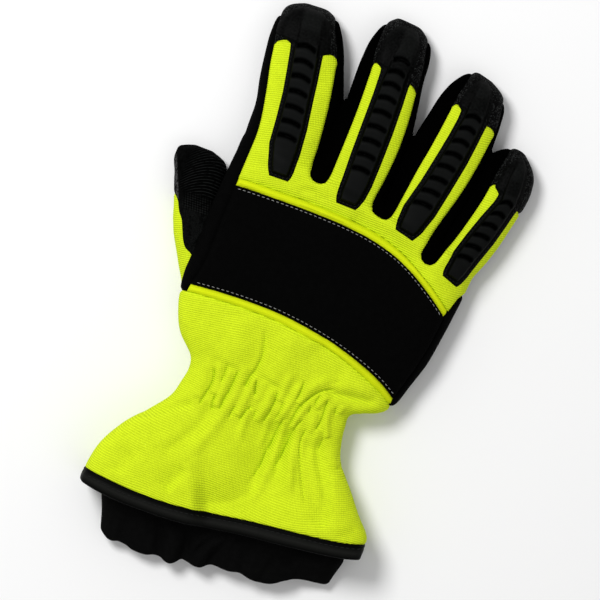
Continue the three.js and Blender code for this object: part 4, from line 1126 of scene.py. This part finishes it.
ring = hemRing(tape["count"])
following = np.roll(ring, -1, axis=0) - np.roll(ring, 1, axis=0)
outward = np.stack([following[:, 2], np.zeros(len(ring)), -following[:, 0]], axis=1)
outward /= np.linalg.norm(outward, axis=1)[:, None]
if outward[np.argmax(ring[:, 2])][2] < 0:
    outward = -outward
inPlan = np.stack([following[:, 0], following[:, 1]], axis=1)
down = np.tile([0.0, -1.0, 0.0], (len(ring), 1))
unit = inPlan / np.maximum(1e-6, np.linalg.norm(inPlan, axis=1))[:, None]
topPart = smoothStep(0.2, 0.8, np.abs(outward[:, 2]))
turned = np.stack([unit[:, 1], -unit[:, 0], np.zeros(len(ring))], axis=1)
turned *= np.where(turned[:, 1] > 0, -1, 1)[:, None]
down = down * (1 - topPart)[:, None] + turned * topPart[:, None]
down /= np.linalg.norm(down, axis=1)[:, None]
pucker = tape["pucker"][1] * noiseAt(ring, tape["pucker"][0], 8.0)
wave = tape["wave"][1] * noiseAt(ring, tape["wave"][0], 4.0)
rings = []
sideways = 1 - np.abs(outward[:, 2])
for u, v in tape["profile"]:
    swell = v + pucker * (v > 0) + 0.1 - 1.0 * sideways
    p = ring + down * (u * tape["narrow"] * (1 + wave))[:, None] + outward * swell[:, None]
    # on the floor its inner layer stays clear of the outer one
    p[:, 2] = np.maximum(p[:, 2], 0.03 + 0.02 * (v < 0) + 1.2 * (v < -1.5))
    rings.append(p)
rings.append(rings[0].copy())
binding = loftPiece("hem_binding_tape", rings, capped=False)
# the underside's shares are 0 or 1, which the tape's colour paints dark as shade
shares = [u / tape["width"] if v > 0 else (0.0 if u < 3 else 1.0) for u, v in tape["profile"]]
giveValues(binding, "across", np.repeat(shares + shares[:1], tape["count"]))
tidyMesh(binding, 60)
addModifier(binding, "SUBSURF", levels=1, render_levels=1)
keepPiece(binding, "tapeVinyl")
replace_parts(binding, "hem_binding")
print("binding made")

# The soft liner that hangs out of the gauntlet

liner = {
    "edge": [(-62, -134), (-56, -131), (-53, -132), (-50, -136), (-47.5, -140.5), (-45, -143.8),
             (-42, -145.6), (-39, -146.1), (-36, -145), (-32, -145.2), (-28, -146.3), (-22, -146.1),
             (-18, -144.6), (-15, -144.3), (-12, -145.3), (-9, -145.6), (-6.4, -144), (-4.6, -141.4),
             (-1, -141.6), (2, -142.2), (5, -141.8), (7.4, -140.2), (10, -138.4), (14, -138.4),
             (19, -138.3), (22, -137.2), (25, -137), (29, -137.9), (33, -138), (37, -137.2),
             (41, -135.8), (46, -132.2), (51, -129.6), (55, -128.6), (60, -128), (65, -126.6),
             (68, -122.5), (72, -118)],
    "rows": [(-48, -96, 59, -92, 17, 8.5, 8.5, 0, 2.8),
             (-51, -108, 64, -100, 19, 9, 9, 2, 2.8),
             (-52.6, -118, 67, -107, 21.5, 9.5, 9.5, 4, 2.9),
             (-53.4, -126, 68, -114, 20.5, 8.5, 8.5, 5, 2.4),
             (-51.5, -135, 67.5, -121, 15.5, 6.5, 6.5, 5, 0.7),
             (-46, -145, 66, -128, 11.5, 5, 5, 4, 0.3)],
    "count": 300,
    "rowStep": 1.2,
    "corner": 10,
    "crown": 2.4,
    "wall": 1.3,
    # of its waves: how close they lie across and along the glove, seed, and height in mm
    "waves": [(0.085, 0.018, 1.7, 1.6), (0.24, 0.05, 5.2, 0.9)],
    "folds": [
        ([(-22, -124), (-18, -134), (-14, -145)], 2.5, -2.0, 2, 1),
        ([(-8, -124), (-4, -134), (-4.5, -142)], 2.2, -2.3, 2, 1),
        ([(8, -122), (2, -132), (-1, -140)], 1.5, -1.6, 2, 1),
        ([(15, -122), (9, -131), (7, -140)], 1.6, -1.8, 2, 1),
        ([(16, -121), (30, -125), (46, -122)], 5.5, -3.2, 2, 3),
        ([(36, -126), (35, -132), (34, -139)], 2, -1.2, 2, 1),
        ([(-40, -122), (-42, -134), (-40, -146)], 8, 1.6, 3, 1),
        ([(-30, -124), (-27, -134), (-28, -146)], 3, 1.0, 3, 1),
        ([(-14, -126), (-10, -136), (-10, -146)], 3, 1.6, 3, 1),
        ([(3, -126), (-2, -134), (-3, -142)], 1.5, 1.2, 3, 1),
        ([(11.5, -125), (5, -133), (4, -142)], 1.6, 1.6, 3, 1),
        ([(14, -135), (30, -135), (48, -131)], 4, 2.0, 3, 5),
        ([(56, -112), (58, -126)], 4.5, 1.4, 3, 1),
    ],
}


def linerRing(row):
    return sectionRing(row, liner["corner"], liner["crown"], liner["count"])


def linerWave(ring, across, along, seed):
    return np.array([noise.noise(Vector((p[0] * across, p[1] * along, seed))) for p in ring])


rows = closeRows(liner["rows"], liner["rowStep"])
edgeLine = smoothLine(liner["edge"], 0.8)
lastY = linerRing(rows[-1])[:, 1]
rings = []
for i, row in enumerate(rows):
    t = i / (len(rows) - 1)
    ring = linerRing(row)
    # towards its edge it runs out to the scallops
    ring[:, 1] += smoothStep(0.45, 1.0, t) * (heightOn(edgeLine, ring[:, 0]) - lastY)
    ring[:, 1] += 2.0 * smoothStep(5, 2, ring[:, 2]) * t
    broad, fine = [linerWave(ring, *wave[:3]) for wave in liner["waves"]]
    grow = smoothStep(0.15, 0.75, t)
    lift = (liner["waves"][0][3] * broad + liner["waves"][1][3] * fine) * grow
    for line, half, height, head, tail in liner["folds"]:
        lift += foldHeight(ring[:, 0], ring[:, 1], line, half, height, head, tail)
    ring[:, 2] += lift * smoothStep(3, 8, ring[:, 2])
    ring[:, 0] += 0.8 * fine * grow
    rings.append(ring)
linerPiece = loftPiece("liner_cuff_knit", rings, capped=False)
tidyMesh(linerPiece, 60)
addModifier(linerPiece, "SMOOTH", factor=0.5, iterations=3)
if readNormals(linerPiece)[int(np.argmax(readPoints(linerPiece)[:, 2]))][2] < 0:
    linerPiece.data.flip_normals()
addModifier(linerPiece, "SOLIDIFY", thickness=liner["wall"] * 0.001, offset=-1.0, use_rim=True)
points = readPoints(linerPiece)
points[:, 2] = np.maximum(points[:, 2], 0.05)
writePoints(linerPiece, points)
selectOnly(linerPiece)
bpy.ops.object.shade_smooth_by_angle(angle=math.radians(60))
keepPiece(linerPiece, "linerKnit")
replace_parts(linerPiece, "liner_cuff")
print("liner made")

# Stitches: one small thread loop, repeated along each seam

stitching = {  # mm from one to the next, then each one's length, width and height
    "band": (2.4, 1.5, 0.38, 0.26),
    "guard": (1.9, 1.3, 0.42, 0.26),
    "tape": (2.6, 1.9, 0.42, 0.24),
    "bandInset": 1.5,
    "guardInset": 1.3,
    "tapeInset": 1.6,
}


def stitchShape():
    # a thread loop of 22 faces, one unit long: thick in the middle, sunk at both ends
    sections = [(-0.5, 0.25, -0.6), (-0.3, 0.8, 0.55), (0, 1.0, 1.0), (0.3, 0.8, 0.55), (0.5, 0.25, -0.6)]
    ring = [(math.cos(a), math.sin(a)) for a in (0.0, 1.05, 2.09, 3.14, 4.71)]
    points, faces = [], []
    for along, size, lift in sections:
        for c, s in ring:
            points.append((along, c * size / 2, (s * 0.5 + lift * 0.6)))
    n = len(ring)
    for r in range(len(sections) - 1):
        for i in range(n):
            faces.append((r * n + i, r * n + (i + 1) % n, (r + 1) * n + (i + 1) % n, (r + 1) * n + i))
    faces.append(tuple(range(n - 1, -1, -1)))
    faces.append(tuple((len(sections) - 1) * n + i for i in range(n)))
    return np.array(points), faces


def stitchRow(points, faces, line, tree, pitch, length, width, height):
    shape, shapeFaces = stitchShape()
    line = np.array(line, float)
    along = lengthAlong(line)
    for at in np.arange(pitch / 2, along[-1], pitch):
        px, py = np.interp(at, along, line[:, 0]), np.interp(at, along, line[:, 1])
        qx, qy = np.interp(at + 0.3, along, line[:, 0]), np.interp(at + 0.3, along, line[:, 1])
        hit = tree.ray_cast(Vector(toFrame((px, py, above))), Vector((0, 0, -1)))
        if hit[0] is None:
            continue
        normal = hit[1]
        forward = Vector((qx - px, qy - py, 0))
        forward = (forward - normal * forward.dot(normal)).normalized()
        side = normal.cross(forward)
        centre = Vector(toPattern(hit[0]))
        base = len(points)
        for a, b, c in shape:
            place = centre + forward * (a * length) + side * (b * width) + normal * (c * height)
            points.append(tuple(place))
        faces.extend([tuple(base + i for i in f) for f in shapeFaces])


def topTree(*names):
    points, faces = [], []
    for name in names:
        mesh = pieces[name].data
        base = len(points)
        points += [tuple(v.co) for v in mesh.vertices]
        faces += [[base + i for i in p.vertices] for p in mesh.polygons]
    return BVHTree.FromPolygons(points, faces)


def stitchPiece(name, finish, rows, tree, sizes):
    points, faces = [], []
    for line in rows:
        stitchRow(points, faces, line, tree, *sizes)
    piece = newPiece(name, np.array(points), faces)
    tidyMesh(piece, 60)
    keepPiece(piece, finish)


inset = stitching["bandInset"]
bandRows = [clipped(raised(topLine, -inset), -46.6, 68.2), clipped(raised(footLine, inset), -48.6, 61)]
stitchPiece("band_stitches", "paleThread", bandRows, topTree("knuckle_band_cloth"), stitching["band"])

inset = stitching["guardInset"]
guardRows = []
for name in fingerNames:
    spec = guard["edges"][name]
    rows = np.array(spec["shaft"], float)
    ys = rows[:, 0].copy()
    ys[0] += inset
    left = np.column_stack([rows[:, 1] + inset, ys + footSlant(spec, -0.7, ys)])
    right = np.column_stack([rows[:, 2] - inset, ys + footSlant(spec, 0.7, ys)])
    guardRows.append(smoothLine(np.vstack([left[::-1], right]), 1.0))
guardTree = topTree(*["guard_" + name + "_rubber" for name in fingerNames])
stitchPiece("guard_stitches", "darkThread", guardRows, guardTree, stitching["guard"])

tapeRows = [clipped(raised(hemLine, -stitching["tapeInset"]), -62, 72)]
stitchPiece("tape_stitches", "darkThread", tapeRows, topTree("hem_binding_tape"), stitching["tape"])
print("stitched")

# Materials


class Signal:
    # a socket that can be added, multiplied and so on
    def __init__(self, shader, socket):
        self.shader, self.socket = shader, socket

    def math(self, operation, other, swap=False):
        pair = (other, self) if swap else (self, other)
        return self.shader.add("ShaderNodeMath", dict(operation=operation), {0: pair[0], 1: pair[1]})

    def __add__(self, other):
        return self.math("ADD", other)

    def __radd__(self, other):
        return self.math("ADD", other, True)

    def __sub__(self, other):
        return self.math("SUBTRACT", other)

    def __rsub__(self, other):
        return self.math("SUBTRACT", other, True)

    def __mul__(self, other):
        return self.math("MULTIPLY", other)

    def __rmul__(self, other):
        return self.math("MULTIPLY", other, True)

    def __neg__(self):
        return self.math("MULTIPLY", -1.0)

    def __rtruediv__(self, other):
        return self.math("DIVIDE", other, True)

    def __truediv__(self, other):
        return self.math("DIVIDE", other)

    def clamped(self, low=0, high=1):
        return self.shader.add("ShaderNodeClamp", {}, {"Value": self, "Min": low, "Max": high})

    def sine(self):
        return self.shader.add("ShaderNodeMath", dict(operation="SINE"), {0: self})

    def waves(self, pitch):
        return (self * (2 * math.pi / pitch)).sine()

    def absolute(self):
        return self.shader.add("ShaderNodeMath", dict(operation="ABSOLUTE"), {0: self})


class Shader:
    def __init__(self, name, **surface):
        self.material = bpy.data.materials.new(name)
        self.material.use_nodes = True
        self.tree = self.material.node_tree
        self.main = self.tree.nodes["Principled BSDF"]
        for key, value in surface.items():
            self.main.inputs[key.replace("_", " ")].default_value = value
        self.place = self.add("ShaderNodeTexCoord", {}, {}, "Object")

    def add(self, kind, settings, sockets, output=0):
        node = self.tree.nodes.new(kind)
        for key, value in settings.items():
            setattr(node, key, value)
        for key, value in sockets.items():
            if isinstance(value, Signal):
                self.tree.links.new(value.socket, node.inputs[key])
            else:
                node.inputs[key].default_value = value
        return Signal(self, node.outputs[output])

    def axes(self):
        # the place in millimetres, whole and as three coordinates
        scaled = self.add("ShaderNodeVectorMath", dict(operation="SCALE"), {0: self.place, "Scale": 1000.0})
        parts = self.add("ShaderNodeSeparateXYZ", {}, {0: scaled}).socket.node
        return scaled, [Signal(self, parts.outputs[k]) for k in range(3)]

    def mixColours(self, factor, first, second):
        return self.add("ShaderNodeMix", dict(data_type="RGBA"), {0: factor, 6: first, 7: second}, 2)

    def noise(self, vector, scale, detail):
        return self.add("ShaderNodeTexNoise", {}, {"Vector": vector, "Scale": scale, "Detail": detail})

    def finish(self, colour=None, roughness=None, height=None, bump=0.001, strength=1.0):
        normal = None
        if height is not None:
            sockets = {"Height": height, "Distance": bump, "Strength": strength}
            normal = self.add("ShaderNodeBump", {}, sockets)
        for key, value in {"Base Color": colour, "Roughness": roughness, "Normal": normal}.items():
            if value is not None:
                self.tree.links.new(value.socket, self.main.inputs[key])
        return self.material


def grey(value, tint=(1, 1, 1)):
    return (value * tint[0], value * tint[1], value * tint[2], 1)


knit = {
    "brightKnit": dict(light=(0.715, 0.890, 0.0180, 1), dark=(0.410, 0.530, 0.005, 1), depth=1.0),
    "pipingKnit": dict(light=(0.655, 0.770, 0.0060, 1), dark=(0.470, 0.560, 0.003, 1), depth=0.3),
    "rib": 1.06,  # mm from one rib to the next
    "wale": 0.74,  # mm from one column of loops to the next
    "gloss": 0.06,
    "relief": 0.00024,  # m
}


def makeKnit(name):
    style = knit[name]
    s = Shader(name, Roughness=0.85, Specular_IOR_Level=knit["gloss"])
    place, (x, y, z) = s.axes()
    # the ribs run across, and slant where the cloth is pulled: left on the wrist and right on the cuff
    left, right = (2.5 - x).clamped(0, 90), (x - 18).clamped(0, 90)
    onWrist = ((y + 68) / 36).clamped()
    onCuff = ((-46 - y) / 46).clamped()
    drift = s.noise(place, 0.05, 1.0) * 2.4
    phase = y + left * left * onWrist * 0.0031 - right * right * onCuff * 0.0062 + drift + z * 0.2
    rib = phase.waves(knit["rib"])
    wale = (x + drift * 0.5 + phase * 0.35).waves(knit["wale"])
    mottle = s.noise(place, 0.22, 3.0) - 0.5
    fleck = s.noise(place, 1.9, 2.0) - 0.5
    weave = rib * 0.5 + wale * (rib * 0.5 + 0.5) * 0.32
    # painted shade: the lower piping is coloured darker towards its right end
    turned = ((x - 12) / 40).clamped() * ((4 - y) / 12).clamped() * (1 - style["depth"])
    shade = 0.35 + turned * 0.35 - weave * 0.76 * style["depth"] - mottle * 0.34
    shade = shade - fleck * 0.75 * style["depth"]
    colour = s.mixColours(shade.clamped(), style["light"], style["dark"])
    return s.finish(colour, None, weave + fleck * 0.7, knit["relief"], style["depth"])


stretch = {  # dark and light grey, mm between its lines, gloss, relief in m
    "bandCloth": (0.0006, 0.0015, 0.5, 0.02, 0.00006),
    "sideCloth": (0.0006, 0.0016, 0.6, 0.02, 0.00006),
    "stretchCloth": (0.0001, 0.0003, 0.6, 0.006, 0.00006),
    "linerKnit": (0.0014, 0.0034, 0.9, 0.02, 0.00006),
}


def makeStretch(name):
    dark, light, pitch, gloss, relief = stretch[name]
    s = Shader(name, Roughness=0.9, Specular_IOR_Level=gloss)
    place, (x, y, z) = s.axes()
    lines = (y + x * 0.5).waves(pitch) * 0.5 + (x - y * 0.5).waves(pitch) * 0.5
    mottle = s.noise(place, 0.35, 3.0)
    colour = s.mixColours(mottle, grey(dark), grey(light))
    return s.finish(colour, None, lines + s.noise(place, 3.0, 2.0) * 0.8, relief)


# a pebble's size is in mm, and the relief of every finish in m
grip = {"pebble": 0.80, "dark": 0.0004, "light": 0.025, "gloss": 0.04, "relief": 0.00036}


def makeGrip():
    s = Shader("gripCloth", Roughness=0.55, Specular_IOR_Level=grip["gloss"])
    place, _ = s.axes()
    swirl = s.add("ShaderNodeTexNoise", {}, {"Vector": place, "Scale": 0.7}, 1)
    stirred = s.add("ShaderNodeVectorMath", dict(operation="ADD"), {0: place, 1: swirl})
    sockets = {"Vector": stirred, "Scale": 1 / grip["pebble"], "Randomness": 1.0}
    cells = s.add("ShaderNodeTexVoronoi", dict(feature="F1"), sockets)
    crumb = s.noise(place, 1.6 / grip["pebble"], 2.0)
    patch = s.noise(place, 0.35, 2.0)
    height = (0.75 - cells).clamped() * 1.6 + crumb * 0.7
    # painted highlight: the pebbles' tops are coloured lighter, in patches
    bright = ((height - 0.78 + (patch - 0.5) * 0.9) * 1.7).clamped()
    colour = s.mixColours(bright, grey(grip["dark"]), grey(grip["light"], (0.93, 1, 0.97)))
    return s.finish(colour, 0.72 - bright * 0.3, height, grip["relief"])


rubber = {"dark": 0.0001, "light": 0.0088, "gloss": 0.022, "relief": 0.00006}


def makeRubber():
    s = Shader("mouldedRubber", Roughness=0.45, Specular_IOR_Level=rubber["gloss"])
    place, _ = s.axes()
    grain = s.noise(place, 3.0, 3.0)
    soft = s.noise(place, 0.22, 2.0)
    # the attribute holds the rubber's tone with its painted shade and painted highlights
    tone = s.add("ShaderNodeAttribute", dict(attribute_name="tone"), {}, 2)
    tone = tone * (0.65 + soft * 0.4 + grain * 0.3)
    colour = s.mixColours(tone, grey(rubber["dark"]), grey(rubber["light"], (0.92, 1, 0.96)))
    return s.finish(colour, 0.38 + grain * 0.16 + soft * 0.14, grain + soft * 0.5, rubber["relief"])


ridged = {"dark": 0.0002, "light": 0.0160, "edgeGlints": 0.06, "gloss": 0.008, "relief": 0.00018}


def makeThumb():
    s = Shader("thumbCloth", Roughness=0.6, Specular_IOR_Level=ridged["gloss"])
    place, (x, y, z) = s.axes()
    aside = x + (thumb["middle"] - patternMiddle[0])
    across, along = x + patternMiddle[0], y + patternMiddle[1]
    left, right = (-aside).clamped(0, 40), aside.clamped(0, 40)
    turn = (aside - slopeFrom).clamped(0, 40) * ((turnTop - along) / turnOver).clamped() * slope
    arch = along + left * left / leftBend + right * right / rightBend - turn
    ribs = arch.waves(thumb["ridgePitch"])
    where = ((along - 23) / 3).clamped() * ((45.2 - along) / 1.2).clamped()
    where = where * ((across + 74) / 4).clamped() * ((-52.8 - across) / 1.2).clamped()
    # the ridges' painted light and shade is broken up in noisy patches, fewer towards the right
    where = where * ((s.noise(place, 0.5, 2.0) - 0.36 + right * 0.012) * 7).clamped()
    grain, patch = s.noise(place, 2.2, 2.0), s.noise(place, 0.4, 2.0)
    pebbled = ((22 - along) / 5).clamped()
    hatched = ((along - 15) / 2).clamped() * ((25 - along) / 3).clamped()
    hatched = hatched * ((across + 69) / 3).clamped() * ((-54 - across) / 2).clamped()
    hatch = (across * 0.8 - along * 0.6).waves(1.9) * (across * 0.5 + along * 0.85).waves(1.4)
    inFromEdge = (across + 80.5) * 0.908 + (along - 38) * 0.419  # mm from the thumb's left outline
    edge = (1.3 - (inFromEdge - 0.5).absolute() / 0.8).clamped()
    edge = edge * ((along - 18) / 2).clamped() * ((40 - along) / 3).clamped()
    # the ridges' crests are painted lighter and their valleys darker, as painted highlight and shade, over
    # the cloth's hatching and grain
    tone = 0.06 + where * (ribs * 0.55 - 0.12) + hatched * hatch * 0.4
    tone = tone + (grain - 0.5) * (0.25 + pebbled * 0.7) + pebbled * 0.12 + (patch - 0.5) * 0.25
    colour = s.mixColours(tone.clamped(), grey(ridged["dark"]), grey(ridged["light"], (0.93, 1, 0.97)))
    # painted highlights: light glints along the thumb's left outline
    edgeGlints = ((s.noise(place, 1.1, 1.0) - 0.42) * 6).clamped()
    colour = s.mixColours(edge * edgeGlints, colour, grey(ridged["edgeGlints"]))
    return s.finish(colour, 0.7 - tone.clamped() * 0.25, where * ribs * 0.8 + grain, ridged["relief"])


vinyl = {"dark": 0.0010, "light": 0.0100, "gloss": 0.02, "relief": 0.00012}


def makeTape():
    s = Shader("tapeVinyl", Roughness=0.45, Specular_IOR_Level=vinyl["gloss"])
    place, _ = s.axes()
    grain = s.noise(place, 1.6, 3.0)
    across = s.add("ShaderNodeAttribute", dict(attribute_name="across"), {}, 2)
    # painted highlight along the middle of the tape and painted shade towards its edges and on its
    # underside
    middle = (1.0 - (across - 0.52).absolute() * 2.4).clamped()
    dark, light = grey(vinyl["dark"], (0.9, 1, 0.9)), grey(vinyl["light"], (0.97, 1, 0.90))
    colour = s.mixColours(middle * (0.75 + grain * 0.4), dark, light)
    return s.finish(colour, 0.42 + grain * 0.2, grain, vinyl["relief"])


thread = {"paleThread": (0.26, 0.26, 0.26, 1), "darkThread": (0.004, 0.0044, 0.0043, 1)}


def makeThread(name):
    s = Shader(name, Roughness=0.7, Specular_IOR_Level=0.2, Base_Color=thread[name])
    place, (x, y, z) = s.axes()
    twist = (x * 1.3 + y * 1.1 + z).waves(0.55)
    return s.finish(None, None, twist, 0.00004)


materials = {name: makeKnit(name) for name in ("brightKnit", "pipingKnit")}
materials.update({name: makeStretch(name) for name in stretch})
materials.update({name: makeThread(name) for name in thread})
materials.update(gripCloth=makeGrip(), thumbCloth=makeThumb())
materials.update(mouldedRubber=makeRubber(), tapeVinyl=makeTape())
for name, piece in pieces.items():
    finish = finishOf[name]
    piece.data.materials.clear()
    piece.data.materials.append(materials[finish])
    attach(piece, "root")
print("finished", len(pieces), "pieces")

# Floor, light and camera

studio = {
    "floor": (0.86, 0.86, 0.86, 1),
    "floorSize": 4,
    "floorLevel": -0.0002,
    "world": 0.50,
    "lamps": {  # place, size, power
        "keyLight": ((-0.66, 0.34, 1.22), 0.5, 15.0),
        "fillLight": ((0.9, -0.5, 1.4), 1.0, 1.6),
    },
    "lens": 200.0,
    "sensor": 36,
    "across": 0.288,  # m, what the picture shows from side to side
    "turn": 22.0,
    "centre": (1.80, -4.45),  # mm, in the pattern's numbers
    "height": 0.012,  # m, the level where the picture is that wide
}
selectOnly(pieces["knuckle_band_cloth"])
bpy.ops.mesh.primitive_plane_add(size=studio["floorSize"], location=(0, 0, studio["floorLevel"]))
floor = bpy.context.active_object
floor.name = "floor"
bpy.ops.object.transform_apply(location=True, rotation=True, scale=True)
paper = Shader("paleFloor", Roughness=0.9, Specular_IOR_Level=0.1, Base_Color=studio["floor"])
floor.data.materials.append(paper.finish())

world = bpy.data.worlds.new("studio")
bpy.context.scene.world = world
world.use_nodes = True
world.node_tree.nodes["Background"].inputs["Color"].default_value = (1, 1, 1, 1)
world.node_tree.nodes["Background"].inputs["Strength"].default_value = studio["world"]

for name, (place, size, power) in studio["lamps"].items():
    lamp = bpy.data.objects.new(name, bpy.data.lights.new(name, "AREA"))
    lamp.data.shape = "DISK"
    lamp.data.size = size
    lamp.data.energy = power
    lamp.location = place
    lamp.rotation_euler = (-Vector(place)).to_track_quat("-Z", "Y").to_euler()
    bpy.context.collection.objects.link(lamp)

camera = bpy.data.objects.new("camera", bpy.data.cameras.new("camera"))
bpy.context.collection.objects.link(camera)
camera.data.lens = studio["lens"]
camera.data.sensor_width = studio["sensor"]
distance = studio["across"] * studio["lens"] / studio["sensor"]
spot = toFrame(studio["centre"] + (0,))
camera.location = (spot[0], spot[1], studio["height"] + distance)
camera.rotation_euler = (0, 0, math.radians(studio["turn"]))
camera.data.clip_end = 20
bpy.context.scene.camera = camera
bpy.context.scene.view_settings.view_transform = "Standard"
print("studio set")
